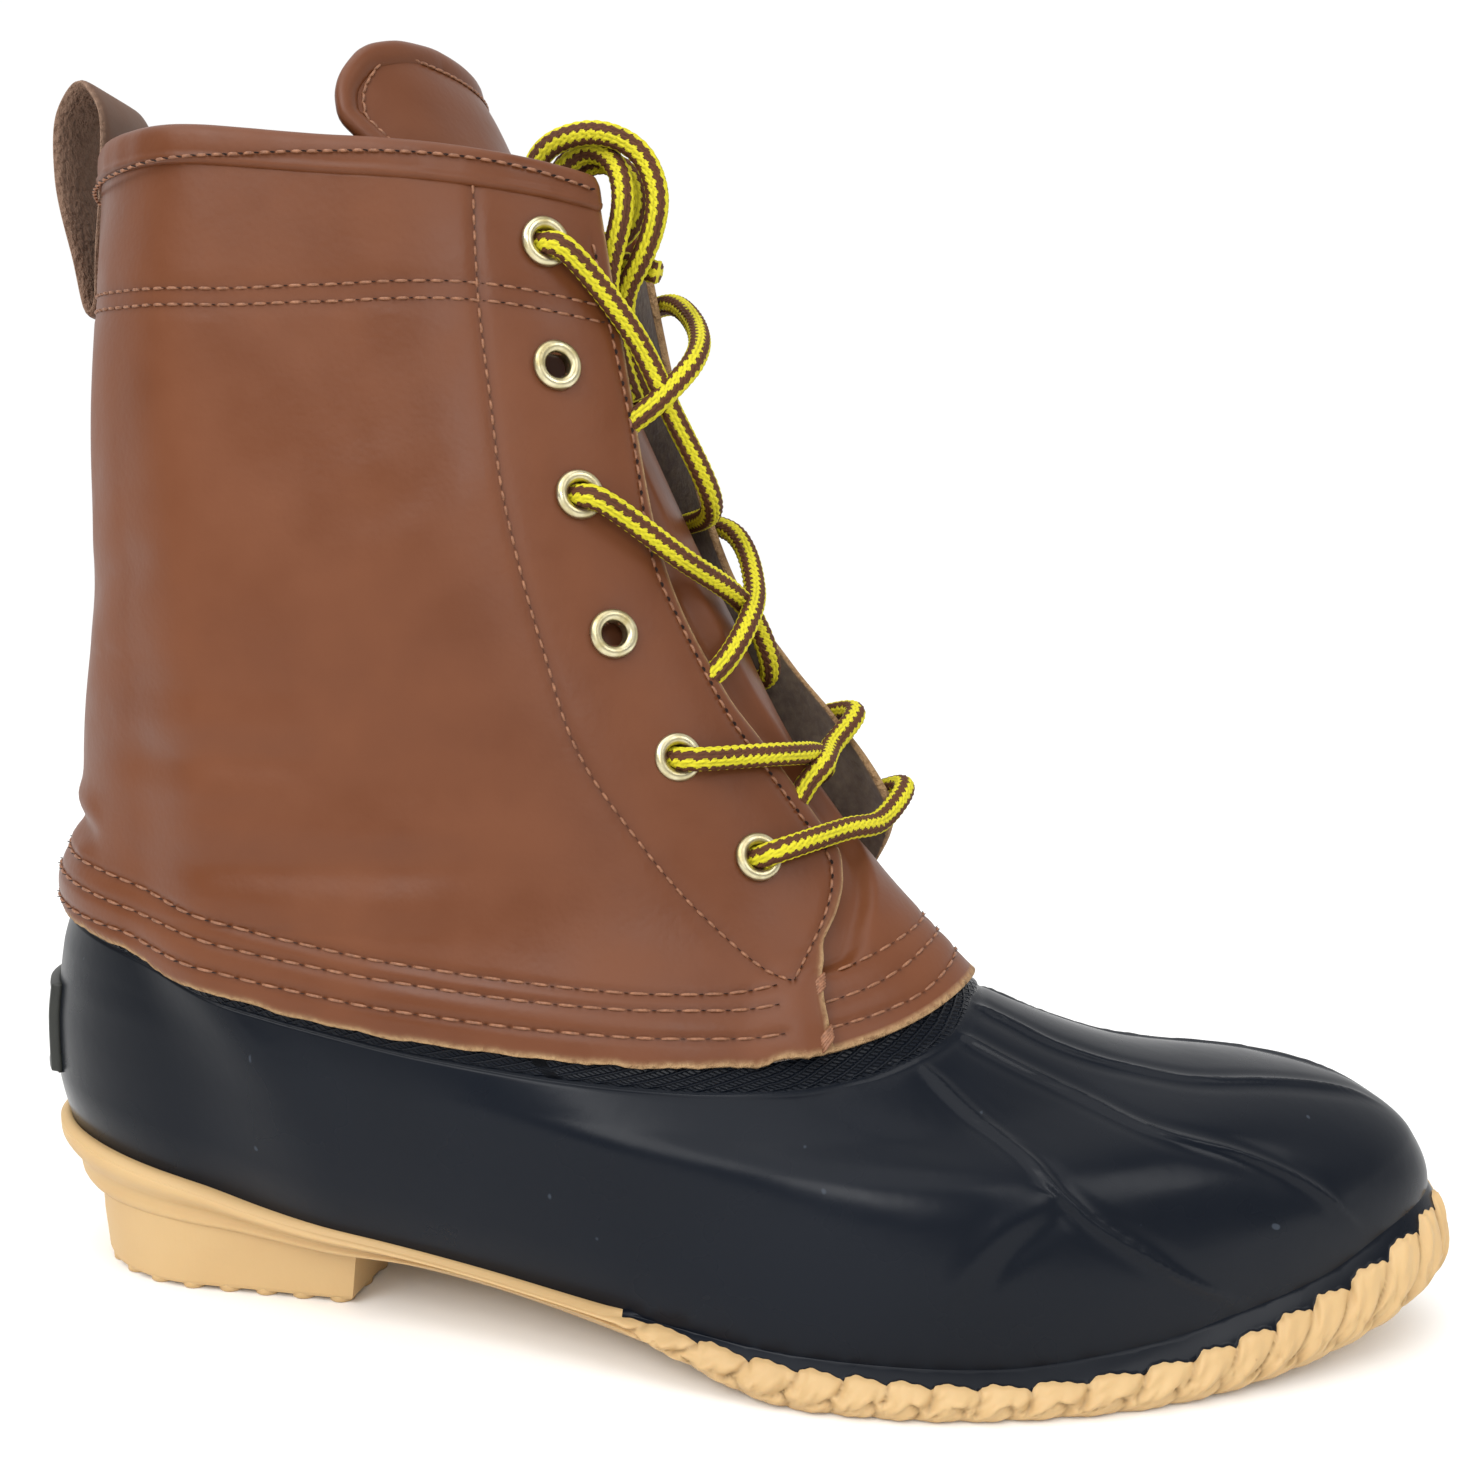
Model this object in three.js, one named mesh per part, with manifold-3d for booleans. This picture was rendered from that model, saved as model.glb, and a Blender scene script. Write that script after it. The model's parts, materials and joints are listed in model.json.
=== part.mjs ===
// Duck boot for the right foot: a moulded rubber shoe under a laced leather shaft.
// Millimetres, +Z up, +X to the toe, +Y to the inner side.
// The origin is on the floor, under the heel's centre.
import * as THREE from 'three';
import { mergeVertices } from 'three/addons/utils/BufferGeometryUtils.js';
import Module from 'manifold-3d';

const wasm = await Module();
wasm.setup();

// Driving dimensions
const SOLE_LENGTH = 300;
const SOLE_HALF_WIDTH = 53.5;
const RUBBER_HEIGHT = 78;
const SHAFT_RISE = 160;
const RUBBER_WALL = 2.4;
const RUBBER_LAP_LEVEL = 1.19;
const BAND_LEVEL = 0.955;
const BAND_TOP_LEVEL = 0.99;
const BAND_STEP = 0.7;
const LEATHER_FOOT_LEVEL = 1.01;
const LEATHER_WALL = 2.2;
const FLAP_LIFT = 13;
const GAP = 0.3;
const INSOLE_THICKNESS = 3;
const LUMP_PITCH = 9;
const LUMP_HEIGHT = 1.1;
const LUMP_FADE = 0.06;
const BRAID_START = 0.47;
const HEEL_BACK = 10;
const HEEL_LENGTH = 68.7;
const HEEL_HALF_WIDTH = 31.5;
const HEEL_FLARE = 1.5;
const HEEL_UNDERCUT = 4;
const HEEL_SINK = 1.6;
const TREAD_DEPTH = 1.3;
const HEEL_NUB_RADIUS = 3.6;
const HEEL_NUB_PITCH = 15;
const LUG_WIDTH = 6;
const LUG_PITCH = 12;
const LUG_WAVE = 1.8;
const LUG_INSET = 4;
const RIDGE_WIDTH = 3.2;
const RIDGE_HEIGHT = 1;
const RIDGE_ROOT = 2;
const BADGE_WIDTH = 24;
const BADGE_HEIGHT = 19;
const BADGE_THICKNESS = 1.2;
const BADGE_SEAT = 0.8;
const BINDING_HEIGHT = 6;
const BINDING_THICKNESS = 4.4;
const TONGUE_WALL = 2;
const TONGUE_RISE = 29;
const TONGUE_TUCK = 0.6;
const EYELET_BORE = 5;
const EYELET_BARREL_WALL = 0.5;
const EYELET_FLANGE = 9.8;
const EYELET_CROWN = 1;
const EYELET_SEAT = 0.6;
const STRAP_WIDTH = 22.5;
const STRAP_THICKNESS = 1.8;
const LOOP_RISE = 19;
const LOOP_REACH = 15.5;
const LOOP_ROOT_LEVEL = 2.73;
const BACKSTAY_HALF_TURN = 0.035;
const BACKSTAY_THICKNESS = 1.2;
const LACE_DIAMETER = 4.4;
const LACE_SIDES = 8;
const LACE_CLEARANCE = 0.6;
const LACE_EDGE_TURN = 0.045;
const LACE_STEPS = 7;
const HANK_TURNS_DEEP = 3;
const STRAND_STEPS = 5;

const HEEL_CENTRE = HEEL_BACK + HEEL_LENGTH / 2;
const LEATHER_OUTSIDE = GAP + LEATHER_WALL;
// Height gained for each level, near the collar and at the back of the rubber
const COLLAR_LEVEL_RISE = SHAFT_RISE * 0.68;
const BACK_LEVEL_RISE = RUBBER_HEIGHT * 0.68;
// Length round the heel's back for each turn
const HEEL_TURN_LENGTH = SOLE_HALF_WIDTH * 2.02;
const LOOP_TOP = RUBBER_HEIGHT + SHAFT_RISE + LOOP_RISE;
const BINDING_PROUD = (BINDING_THICKNESS - LEATHER_WALL) / 2;
const LACE_RADIUS = LACE_DIAMETER / 2;

// Rings of the boot from the sole (level 0) to the rubber's top edge (level 1).
// x is a share of SOLE_LENGTH, z and sag of RUBBER_HEIGHT, widths of SOLE_HALF_WIDTH.
const RUBBER_RINGS = [
  { level: 0.00, backX: 0.012, backZ: 0.282, frontX: 0.985, frontZ: 0.250, heel: 0.593, waist: 0.606,
    fore: 0.910, sag: 0.183, nose: 1.75, toeStart: 0.65, heelRound: 0.15 },
  { level: 0.15, backX: 0.002, backZ: 0.397, frontX: 0.992, frontZ: 0.397, heel: 0.626, waist: 0.692,
    fore: 0.940, sag: 0.291, nose: 1.75, toeStart: 0.65, heelRound: 0.15 },
  { level: 0.35, backX: -0.007, backZ: 0.551, frontX: 0.980, frontZ: 0.526, heel: 0.673, waist: 0.766,
    fore: 0.963, sag: 0.269, nose: 1.80, toeStart: 0.65, heelRound: 0.16 },
  { level: 0.55, backX: -0.008, backZ: 0.692, frontX: 0.942, frontZ: 0.635, heel: 0.682, waist: 0.804,
    fore: 0.944, sag: 0.224, nose: 1.90, toeStart: 0.64, heelRound: 0.17 },
  { level: 0.70, backX: -0.005, backZ: 0.795, frontX: 0.880, frontZ: 0.692, heel: 0.682, waist: 0.813,
    fore: 0.916, sag: 0.192, nose: 2.00, toeStart: 0.62, heelRound: 0.18 },
  { level: 0.85, backX: -0.002, backZ: 0.897, frontX: 0.793, frontZ: 0.724, heel: 0.673, waist: 0.804,
    fore: 0.869, sag: 0.179, nose: 2.00, toeStart: 0.58, heelRound: 0.20 },
  { level: 1.00, backX: 0.005, backZ: 1.000, frontX: 0.677, frontZ: 0.878, heel: 0.654, waist: 0.785,
    fore: 0.813, sag: 0.177, nose: 2.00, toeStart: 0.55, heelRound: 0.22 },
];

// Rings of the shaft up to the collar (level 3). z is a share of SHAFT_RISE above the rubber's height.
const SHAFT_RINGS = [
  { level: 1.15, backX: 0.007, backZ: 0.047, frontX: 0.655, frontZ: -0.019, heel: 0.645, waist: 0.776,
    fore: 0.794, sag: 0.179, nose: 2, toeStart: 0.55, heelRound: 0.23 },
  { level: 1.30, backX: 0.023, backZ: 0.103, frontX: 0.633, frontZ: 0.022, heel: 0.654, waist: 0.766,
    fore: 0.766, sag: 0.176, nose: 2, toeStart: 0.55, heelRound: 0.24 },
  { level: 1.50, backX: 0.027, backZ: 0.181, frontX: 0.603, frontZ: 0.081, heel: 0.682, waist: 0.766,
    fore: 0.738, sag: 0.122, nose: 2, toeStart: 0.56, heelRound: 0.26 },
  { level: 1.75, backX: 0.032, backZ: 0.288, frontX: 0.560, frontZ: 0.188, heel: 0.710, waist: 0.785,
    fore: 0.729, sag: 0.064, nose: 2, toeStart: 0.57, heelRound: 0.28 },
  { level: 2.00, backX: 0.037, backZ: 0.406, frontX: 0.520, frontZ: 0.313, heel: 0.738, waist: 0.794,
    fore: 0.738, sag: 0.038, nose: 2, toeStart: 0.58, heelRound: 0.30 },
  { level: 2.30, backX: 0.040, backZ: 0.563, frontX: 0.483, frontZ: 0.475, heel: 0.766, waist: 0.813,
    fore: 0.748, sag: 0.019, nose: 2, toeStart: 0.58, heelRound: 0.32 },
  { level: 2.65, backX: 0.047, backZ: 0.763, frontX: 0.450, frontZ: 0.700, heel: 0.794, waist: 0.822,
    fore: 0.748, sag: 0.006, nose: 2, toeStart: 0.58, heelRound: 0.34 },
  { level: 3.00, backX: 0.055, backZ: 1.000, frontX: 0.425, frontZ: 0.956, heel: 0.804, waist: 0.822,
    fore: 0.748, sag: 0.000, nose: 2, toeStart: 0.58, heelRound: 0.36 },
];

// How far a ring sags between its back and its front, at shares of its length:
// at the sole's bed, at the rim of the sole and at the leather's edge.
const SAG = [
  { at: 0.00, bed: 0.000, rim: 0.000, top: 0.00 },
  { at: 0.05, bed: 0.030, rim: 0.080, top: 0.10 },
  { at: 0.13, bed: 0.080, rim: 0.260, top: 0.28 },
  { at: 0.20, bed: 0.210, rim: 0.460, top: 0.50 },
  { at: 0.27, bed: 0.370, rim: 0.585, top: 0.68 },
  { at: 0.35, bed: 0.540, rim: 0.700, top: 0.83 },
  { at: 0.47, bed: 0.755, rim: 0.845, top: 0.97 },
  { at: 0.58, bed: 0.930, rim: 0.970, top: 1.00 },
  { at: 0.70, bed: 1.000, rim: 1.000, top: 0.99 },
  { at: 0.80, bed: 0.910, rim: 0.870, top: 0.92 },
  { at: 0.86, bed: 0.720, rim: 0.700, top: 0.78 },
  { at: 0.92, bed: 0.450, rim: 0.480, top: 0.55 },
  { at: 0.96, bed: 0.240, rim: 0.220, top: 0.32 },
  { at: 1.00, bed: 0.000, rim: 0.000, top: 0.00 },
];

// Sideways bend of the foot's centre line, as shares of SOLE_LENGTH and SOLE_HALF_WIDTH.
const BEND = [
  { at: 0.000, side: 0.000 },
  { at: 0.167, side: -0.009 },
  { at: 0.267, side: -0.028 },
  { at: 0.367, side: -0.052 },
  { at: 0.467, side: -0.080 },
  { at: 0.550, side: -0.080 },
  { at: 0.650, side: -0.043 },
  { at: 0.760, side: 0.036 },
  { at: 0.817, side: 0.088 },
  { at: 0.873, side: 0.135 },
  { at: 0.933, side: 0.155 },
  { at: 1.000, side: 0.121 },
];

// Outlines of the sole's edge, as shares of SOLE_LENGTH and SOLE_HALF_WIDTH.
const EDGE_SHAPE = { nose: 1.75, toeStart: 0.65, heelRound: 0.15 };
const RIM_OUTLINE = { backX: -0.005, frontX: 0.999, heel: 0.672, waist: 0.716, fore: 1.010, ...EDGE_SHAPE };
const BELLY_OUTLINE = { backX: 0.002, frontX: 1.003, heel: 0.652, waist: 0.712, fore: 1.018, ...EDGE_SHAPE };
const FOOT_OUTLINE = { backX: 0.015, frontX: 0.990, heel: 0.620, waist: 0.676, fore: 1.000, ...EDGE_SHAPE };
const UNDER_OUTLINE = { backX: 0.038, frontX: 0.967, heel: 0.490, waist: 0.545, fore: 0.890, ...EDGE_SHAPE };

// Height of the edge's foot and of the underside above the floor, as shares of RUBBER_HEIGHT.
const UNDERSIDE = [
  { at: 0.000, foot: 0.224, under: 0.218 },
  { at: 0.133, foot: 0.199, under: 0.192 },
  { at: 0.267, foot: 0.168, under: 0.154 },
  { at: 0.333, foot: 0.165, under: 0.135 },
  { at: 0.393, foot: 0.145, under: 0.115 },
  { at: 0.437, foot: 0.131, under: 0.097 },
  { at: 0.473, foot: 0.106, under: 0.077 },
  { at: 0.517, foot: 0.058, under: 0.044 },
  { at: 0.550, foot: 0.021, under: 0.023 },
  { at: 0.583, foot: 0.005, under: 0.018 },
  { at: 0.783, foot: 0.005, under: 0.018 },
  { at: 0.833, foot: 0.013, under: 0.026 },
  { at: 0.883, foot: 0.036, under: 0.051 },
  { at: 0.933, foot: 0.077, under: 0.090 },
  { at: 0.967, foot: 0.115, under: 0.126 },
  { at: 1.000, foot: 0.154, under: 0.160 },
];

// Front edges of the two leather quarters: outer side, inner side, and how far the inner flap stands off.
const QUARTER_EDGE = [
  { level: 1.00, outer: 0.247, inner: 0.247, lift: 0.00 },
  { level: 1.28, outer: 0.215, inner: 0.215, lift: 0.00 },
  { level: 1.36, outer: 0.186, inner: 0.186, lift: 0.15 },
  { level: 1.45, outer: 0.137, inner: 0.137, lift: 0.50 },
  { level: 1.53, outer: 0.098, inner: 0.095, lift: 0.80 },
  { level: 1.60, outer: 0.075, inner: 0.070, lift: 0.95 },
  { level: 1.73, outer: 0.081, inner: 0.068, lift: 1.00 },
  { level: 1.87, outer: 0.098, inner: 0.080, lift: 0.95 },
  { level: 2.00, outer: 0.122, inner: 0.095, lift: 0.80 },
  { level: 2.30, outer: 0.140, inner: 0.115, lift: 0.35 },
  { level: 2.65, outer: 0.134, inner: 0.120, lift: 0.18 },
  { level: 3.00, outer: 0.138, inner: 0.130, lift: 0.00 },
];
const FLAP_ROOT_TURN = 0.32;

// Laced pairs: the level where the first run dives under the inner flap, and where the second comes out.
const CROSSINGS = [
  { name: 'lace_cross_1', eyelet: 0, under: 2.44, over: 2.57 },
  { name: 'lace_cross_3', eyelet: 2, under: 2.03, over: 2.07 },
  { name: 'lace_cross_5', eyelet: 4, under: 1.77, over: 1.76 },
];

// Tongue: how far it lies behind the shaft's own front (share of SOLE_LENGTH), its half width in turns,
// and how far it is tucked under the quarters.
const TONGUE_ROWS = [
  { level: 1.00, setback: 0.000, half: 0.241 },
  { level: 1.28, setback: 0.000, half: 0.209 },
  { level: 1.34, setback: 0.000, half: 0.196 },
  { level: 1.45, setback: 0.000, half: 0.210 },
  { level: 1.70, setback: 0.000, half: 0.270 },
  { level: 2.10, setback: 0.004, half: 0.290 },
  { level: 2.35, setback: 0.016, half: 0.290 },
  { level: 2.65, setback: 0.036, half: 0.290 },
  { level: 3.00, setback: 0.068, half: 0.280 },
];
// Rounded top of the tongue: height share of TONGUE_RISE, further setback and half width in turns.
const TONGUE_TOP = [
  { at: 0.00, setback: 0.068, half: 0.280 },
  { at: 0.40, setback: 0.090, half: 0.262 },
  { at: 0.75, setback: 0.106, half: 0.215 },
  { at: 0.93, setback: 0.116, half: 0.150 },
  { at: 1.00, setback: 0.121, half: 0.085 },
];

// Eyelets of one side, from the top down.
const EYELETS = [
  { level: 2.860, turn: 0.234 },
  { level: 2.655, turn: 0.240 },
  { level: 2.420, turn: 0.242 },
  { level: 2.135, turn: 0.246 },
  { level: 1.860, turn: 0.229 },
  { level: 1.620, turn: 0.196 },
];

// Raised lines on the toe, on one side of the foot, as level and turn.
const RIDGES = [
  [[0.945, 0.188], [0.845, 0.233], [0.600, 0.292], [0.390, 0.279], [0.170, 0.245]],
  [[0.600, 0.292], [0.470, 0.343], [0.340, 0.370]],
  [[0.945, 0.126], [0.875, 0.146], [0.735, 0.180], [0.600, 0.182], [0.450, 0.172], [0.285, 0.160],
    [0.170, 0.150]],
  [[0.945, 0.062], [0.910, 0.072], [0.850, 0.080], [0.760, 0.088], [0.655, 0.061], [0.545, 0.034]],
];

const finishes = {
  rubber: { color: 0x252a33, roughness: 0.42, metalness: 0 },
  gum: { color: 0xf0cf9a, roughness: 0.6, metalness: 0 },
  leather: { color: 0x8a553b, roughness: 0.5, metalness: 0 },
  insole: { color: 0x3b3431, roughness: 0.9, metalness: 0 },
  brass: { color: 0xc9b98c, roughness: 0.3, metalness: 1 },
  lace: { color: 0xb89a2c, roughness: 0.8, metalness: 0 },
  badge: { color: 0x1d2026, roughness: 0.5, metalness: 0 },
};

// Smooth value of one column of a table, which never overshoots its rows.
function sample(rows, key, column, position) {
  const last = rows.length - 1;
  const at = THREE.MathUtils.clamp(position, rows[0][key], rows[last][key]);
  let i = 0;
  while (i < last - 1 && at >= rows[i + 1][key]) i += 1;
  const secant = (j) => (rows[j + 1][column] - rows[j][column]) / (rows[j + 1][key] - rows[j][key]);
  const slope = (j) => {
    if (j === 0) return secant(0);
    if (j === last) return secant(last - 1);
    const before = secant(j - 1);
    const after = secant(j);
    return before * after <= 0 ? 0 : (2 * before * after) / (before + after);
  };
  const span = rows[i + 1][key] - rows[i][key];
  const t = (at - rows[i][key]) / span;
  const t2 = t * t;
  const t3 = t2 * t;
  return (2 * t3 - 3 * t2 + 1) * rows[i][column] + (t3 - 2 * t2 + t) * span * slope(i)
    + (3 * t2 - 2 * t3) * rows[i + 1][column] + (t3 - t2) * span * slope(i + 1);
}

const smooth = (t) => THREE.MathUtils.smoothstep(t, 0, 1);

const RINGS = [
  ...RUBBER_RINGS.map((ring) => ({
    ...ring,
    backZ: ring.backZ * RUBBER_HEIGHT,
    frontZ: ring.frontZ * RUBBER_HEIGHT,
  })),
  ...SHAFT_RINGS.map((ring) => ({
    ...ring,
    backZ: RUBBER_HEIGHT + ring.backZ * SHAFT_RISE,
    frontZ: RUBBER_HEIGHT + ring.frontZ * SHAFT_RISE,
  })),
];
const RING_COLUMNS = Object.keys(RINGS[0]).filter((column) => column !== 'level');

function ringAt(level) {
  return Object.fromEntries(RING_COLUMNS.map((column) => [column, sample(RINGS, 'level', column, level)]));
}

// Share of the way along a ring, from its back (0) to its front (1), for a turn of -1 to 1 with 0 in front.
const alongRing = (turn) => (1 + Math.cos(Math.PI * turn)) / 2;

// Plan outline: x measured from the sole's back, y across, for a turn on one ring.
function outlinePoint(shape, turn, bendShare) {
  const along = alongRing(turn);
  const x = (shape.backX + (shape.frontX - shape.backX) * along) * SOLE_LENGTH;
  const width = shape.heel + (shape.waist - shape.heel) * smooth((along - 0.15) / 0.12)
    + (shape.fore - shape.waist) * smooth((along - 0.27) / (shape.toeStart - 0.27));
  const heelEnd = Math.sqrt(1 - Math.max(0, 1 - along / shape.heelRound) ** 2);
  const toeShare = Math.max(0, (along - shape.toeStart) / (1 - shape.toeStart));
  const toeEnd = Math.max(0, 1 - toeShare ** shape.nose) ** (1 / shape.nose);
  const centre = sample(BEND, 'at', 'side', x / SOLE_LENGTH) * SOLE_HALF_WIDTH * bendShare;
  const half = width * heelEnd * toeEnd * SOLE_HALF_WIDTH;
  return new THREE.Vector3(x - HEEL_CENTRE, centre + Math.sign(turn) * half, 0);
}

function skinPoint(level, turn) {
  const ring = ringAt(level);
  const bendShare = 1 - smooth((level - 0.9) / 0.9);
  const point = outlinePoint(ring, turn, bendShare);
  const along = alongRing(turn);
  const bed = sample(SAG, 'at', 'bed', along);
  const rim = sample(SAG, 'at', 'rim', along);
  const top = sample(SAG, 'at', 'top', along);
  const low = THREE.MathUtils.lerp(bed, rim, THREE.MathUtils.clamp(level / 0.15, 0, 1));
  const sag = THREE.MathUtils.lerp(low, top, smooth((level - 0.15) / 0.85));
  point.z = THREE.MathUtils.lerp(ring.backZ, ring.frontZ, along) - ring.sag * RUBBER_HEIGHT * sag;
  return point;
}

const wrapTurn = (turn) => turn - 2 * Math.round(turn / 2);

function skinNormal(level, turn) {
  const up = skinPoint(Math.min(3, level + 0.01), turn).sub(skinPoint(Math.max(0, level - 0.01), turn));
  const around = skinPoint(level, wrapTurn(turn + 0.012)).sub(skinPoint(level, wrapTurn(turn - 0.012)));
  return around.cross(up).normalize();
}

// A point of the boot's skin, moved outwards by a distance.
function skin(level, turn, out = 0) {
  return skinPoint(level, turn).addScaledVector(skinNormal(level, turn), out);
}

// A point of the leather quarters, whose inner flap stands off the tongue.
function quarter(level, turn, out) {
  const point = skin(level, turn, out);
  if (turn <= 0) return point;
  const edge = sample(QUARTER_EDGE, 'level', 'inner', level);
  const share = THREE.MathUtils.clamp((FLAP_ROOT_TURN - turn) / (FLAP_ROOT_TURN - edge), 0, 1);
  const lift = sample(QUARTER_EDGE, 'level', 'lift', level) * FLAP_LIFT;
  return point.addScaledVector(skinNormal(level, turn), lift * share ** 1.6);
}

function quarterNormal(level, turn) {
  const up = quarter(level + 0.01, turn, 0).sub(quarter(level - 0.01, turn, 0));
  const around = quarter(level, turn + 0.01, 0).sub(quarter(level, turn - 0.01, 0));
  return around.cross(up).normalize();
}

// Geometry helpers
function geometryFrom(points, triangles) {
  const geometry = new THREE.BufferGeometry();
  const numbers = points.flatMap((point) => [point.x, point.y, point.z]);
  geometry.setAttribute('position', new THREE.Float32BufferAttribute(numbers, 3));
  geometry.setIndex(triangles.flat());
  return geometry;
}

// Closed wall between an outer and an inner grid of points, rows going up and columns going round.
function wall(outer, inner, closed = false) {
  const rows = outer.length;
  const columns = outer[0].length;
  const index = (side, j, i) => side * rows * columns + j * columns + (i % columns);
  const triangles = [];
  const quad = (a, b, c, d) => triangles.push([a, b, c], [a, c, d]);
  const spans = closed ? columns : columns - 1;
  for (let j = 0; j < rows - 1; j += 1) {
    for (let i = 0; i < spans; i += 1) {
      quad(index(0, j, i), index(0, j, i + 1), index(0, j + 1, i + 1), index(0, j + 1, i));
      quad(index(1, j, i), index(1, j + 1, i), index(1, j + 1, i + 1), index(1, j, i + 1));
    }
  }
  const top = rows - 1;
  for (let i = 0; i < spans; i += 1) {
    quad(index(1, 0, i), index(1, 0, i + 1), index(0, 0, i + 1), index(0, 0, i));
    quad(index(0, top, i), index(0, top, i + 1), index(1, top, i + 1), index(1, top, i));
  }
  if (!closed) {
    const end = columns - 1;
    for (let j = 0; j < rows - 1; j += 1) {
      quad(index(1, j, 0), index(0, j, 0), index(0, j + 1, 0), index(1, j + 1, 0));
      quad(index(0, j, end), index(1, j, end), index(1, j + 1, end), index(0, j + 1, end));
    }
  }
  return geometryFrom([...outer.flat(), ...inner.flat()], triangles);
}

// Closed body of stacked rings, whose lowest and last ring are bridged from side to side.
function stack(rings) {
  const columns = rings[0].length;
  const triangles = [];
  for (let j = 0; j < rings.length - 1; j += 1) {
    for (let i = 0; i < columns; i += 1) {
      const next = (i + 1) % columns;
      const a = j * columns + i;
      const b = j * columns + next;
      const c = (j + 1) * columns + next;
      const d = (j + 1) * columns + i;
      triangles.push([a, b, c], [a, c, d]);
    }
  }
  const bridge = (start, flip) => {
    for (let i = 0; i < columns / 2 - 1; i += 1) {
      const a = start + i;
      const b = start + i + 1;
      const c = start + columns - 1 - i;
      const d = start + columns - 2 - i;
      const corners = [[a, d, b], [a, c, d]];
      corners.forEach(([p, q, r]) => triangles.push(flip ? [p, r, q] : [p, q, r]));
    }
  };
  bridge(0, false);
  bridge((rings.length - 1) * columns, true);
  return geometryFrom(rings.flat(), triangles);
}

function toManifold(geometry) {
  const bare = geometry.clone();
  bare.deleteAttribute('normal');
  bare.deleteAttribute('uv');
  const merged = mergeVertices(bare, 1e-4);
  const vertProperties = Float32Array.from(merged.attributes.position.array);
  const triVerts = Uint32Array.from(merged.index.array);
  return new wasm.Manifold(new wasm.Mesh({ numProp: 3, vertProperties, triVerts }));
}

function toGeometry(solid) {
  const mesh = solid.getMesh();
  const geometry = new THREE.BufferGeometry();
  const positions = [];
  for (let i = 0; i < mesh.vertProperties.length; i += mesh.numProp) {
    positions.push(mesh.vertProperties[i], mesh.vertProperties[i + 1], mesh.vertProperties[i + 2]);
  }
  geometry.setAttribute('position', new THREE.Float32BufferAttribute(positions, 3));
  geometry.setIndex(Array.from(mesh.triVerts));
  return geometry;
}

const join = (solids) => solids.reduce((whole, solid) => whole.add(solid));

// Even turns for the columns round a whole ring, without a repeat.
function ringTurns(count) {
  return Array.from({ length: count }, (_, i) => -1 + (2 * (i + 0.5)) / count);
}

const SHELL_TURNS = ringTurns(40);
const range = (count) => Array.from({ length: count }, (_, i) => i / (count - 1));

// Outsole
function edgeHeight(column, x) {
  return sample(UNDERSIDE, 'at', column, x / SOLE_LENGTH) * RUBBER_HEIGHT;
}

// Stations along the sole's edge: two for each lump round the forefoot, wider apart elsewhere.
function soleTurns() {
  const steps = [];
  let turn = 0.002;
  const stepLength = (at) => {
    const here = outlinePoint(RIM_OUTLINE, at, 1);
    const there = outlinePoint(RIM_OUTLINE, at + 0.002, 1);
    return here.distanceTo(there) / 0.002;
  };
  while (turn < 0.998) {
    steps.push({ turn, high: steps.length % 2 });
    const spacing = alongRing(turn) > BRAID_START ? LUMP_PITCH / 2 : LUMP_PITCH * 1.7;
    turn += spacing / stepLength(turn);
  }
  const inner = steps.map((step) => ({ ...step }));
  const outer = steps.map((step) => ({ turn: -step.turn, high: step.high })).reverse();
  return [...outer, ...inner];
}

function outsole() {
  const stations = soleTurns();
  const lump = (station) => {
    const fade = smooth((alongRing(station.turn) - BRAID_START) / LUMP_FADE);
    return fade * (station.high - 0.5) * LUMP_HEIGHT;
  };
  const edgeRing = (outline, height, swell, rise) => stations.map((station) => {
    const point = outlinePoint(outline, station.turn, 1);
    const toe = smooth((alongRing(station.turn) - 0.9) / 0.1);
    const side = new THREE.Vector3(toe, Math.sign(station.turn), 0).normalize();
    point.addScaledVector(side, lump(station) * swell);
    point.z = height(station.turn, point.x + HEEL_CENTRE) + lump(station) * rise;
    return point;
  });
  const rimHeight = (turn) => skinPoint(0.15, turn).z;
  const bellyHeight = (turn, x) => (rimHeight(turn) + edgeHeight('foot', x)) / 2;
  const slab = toManifold(stack([
    edgeRing(UNDER_OUTLINE, (turn, x) => edgeHeight('under', x), 0, 0),
    edgeRing(FOOT_OUTLINE, (turn, x) => edgeHeight('foot', x), 0.6, 0),
    edgeRing(BELLY_OUTLINE, bellyHeight, 1, 0),
    edgeRing(RIM_OUTLINE, rimHeight, 0.4, 1),
  ]));
  return toGeometry(join([slab, heelBlock(), ...heelNubs(), ...forefootLugs()]).subtract(shellSeat()));
}

// The room that the rubber shell's foot takes up in the sole
function shellSeat() {
  const ring = (level) => SHELL_TURNS.map((turn) => skin(level, turn, GAP));
  const bed = ring(0).map((point, i) => point.setZ(skinPoint(0, SHELL_TURNS[i]).z - GAP));
  return toManifold(stack([bed, ring(0.15), ring(0.30)]));
}

// Outline of the heel block: round at the back, square at the breast.
function heelOutline(back, front, half) {
  const shape = new THREE.Shape();
  const round = half * 1.1;
  shape.moveTo(front, -half);
  shape.lineTo(front, half);
  shape.lineTo(back + round, half);
  shape.absellipse(back + round, 0, round, half, Math.PI / 2, (3 * Math.PI) / 2, false, 0);
  return shape.getPoints(9);
}

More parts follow.
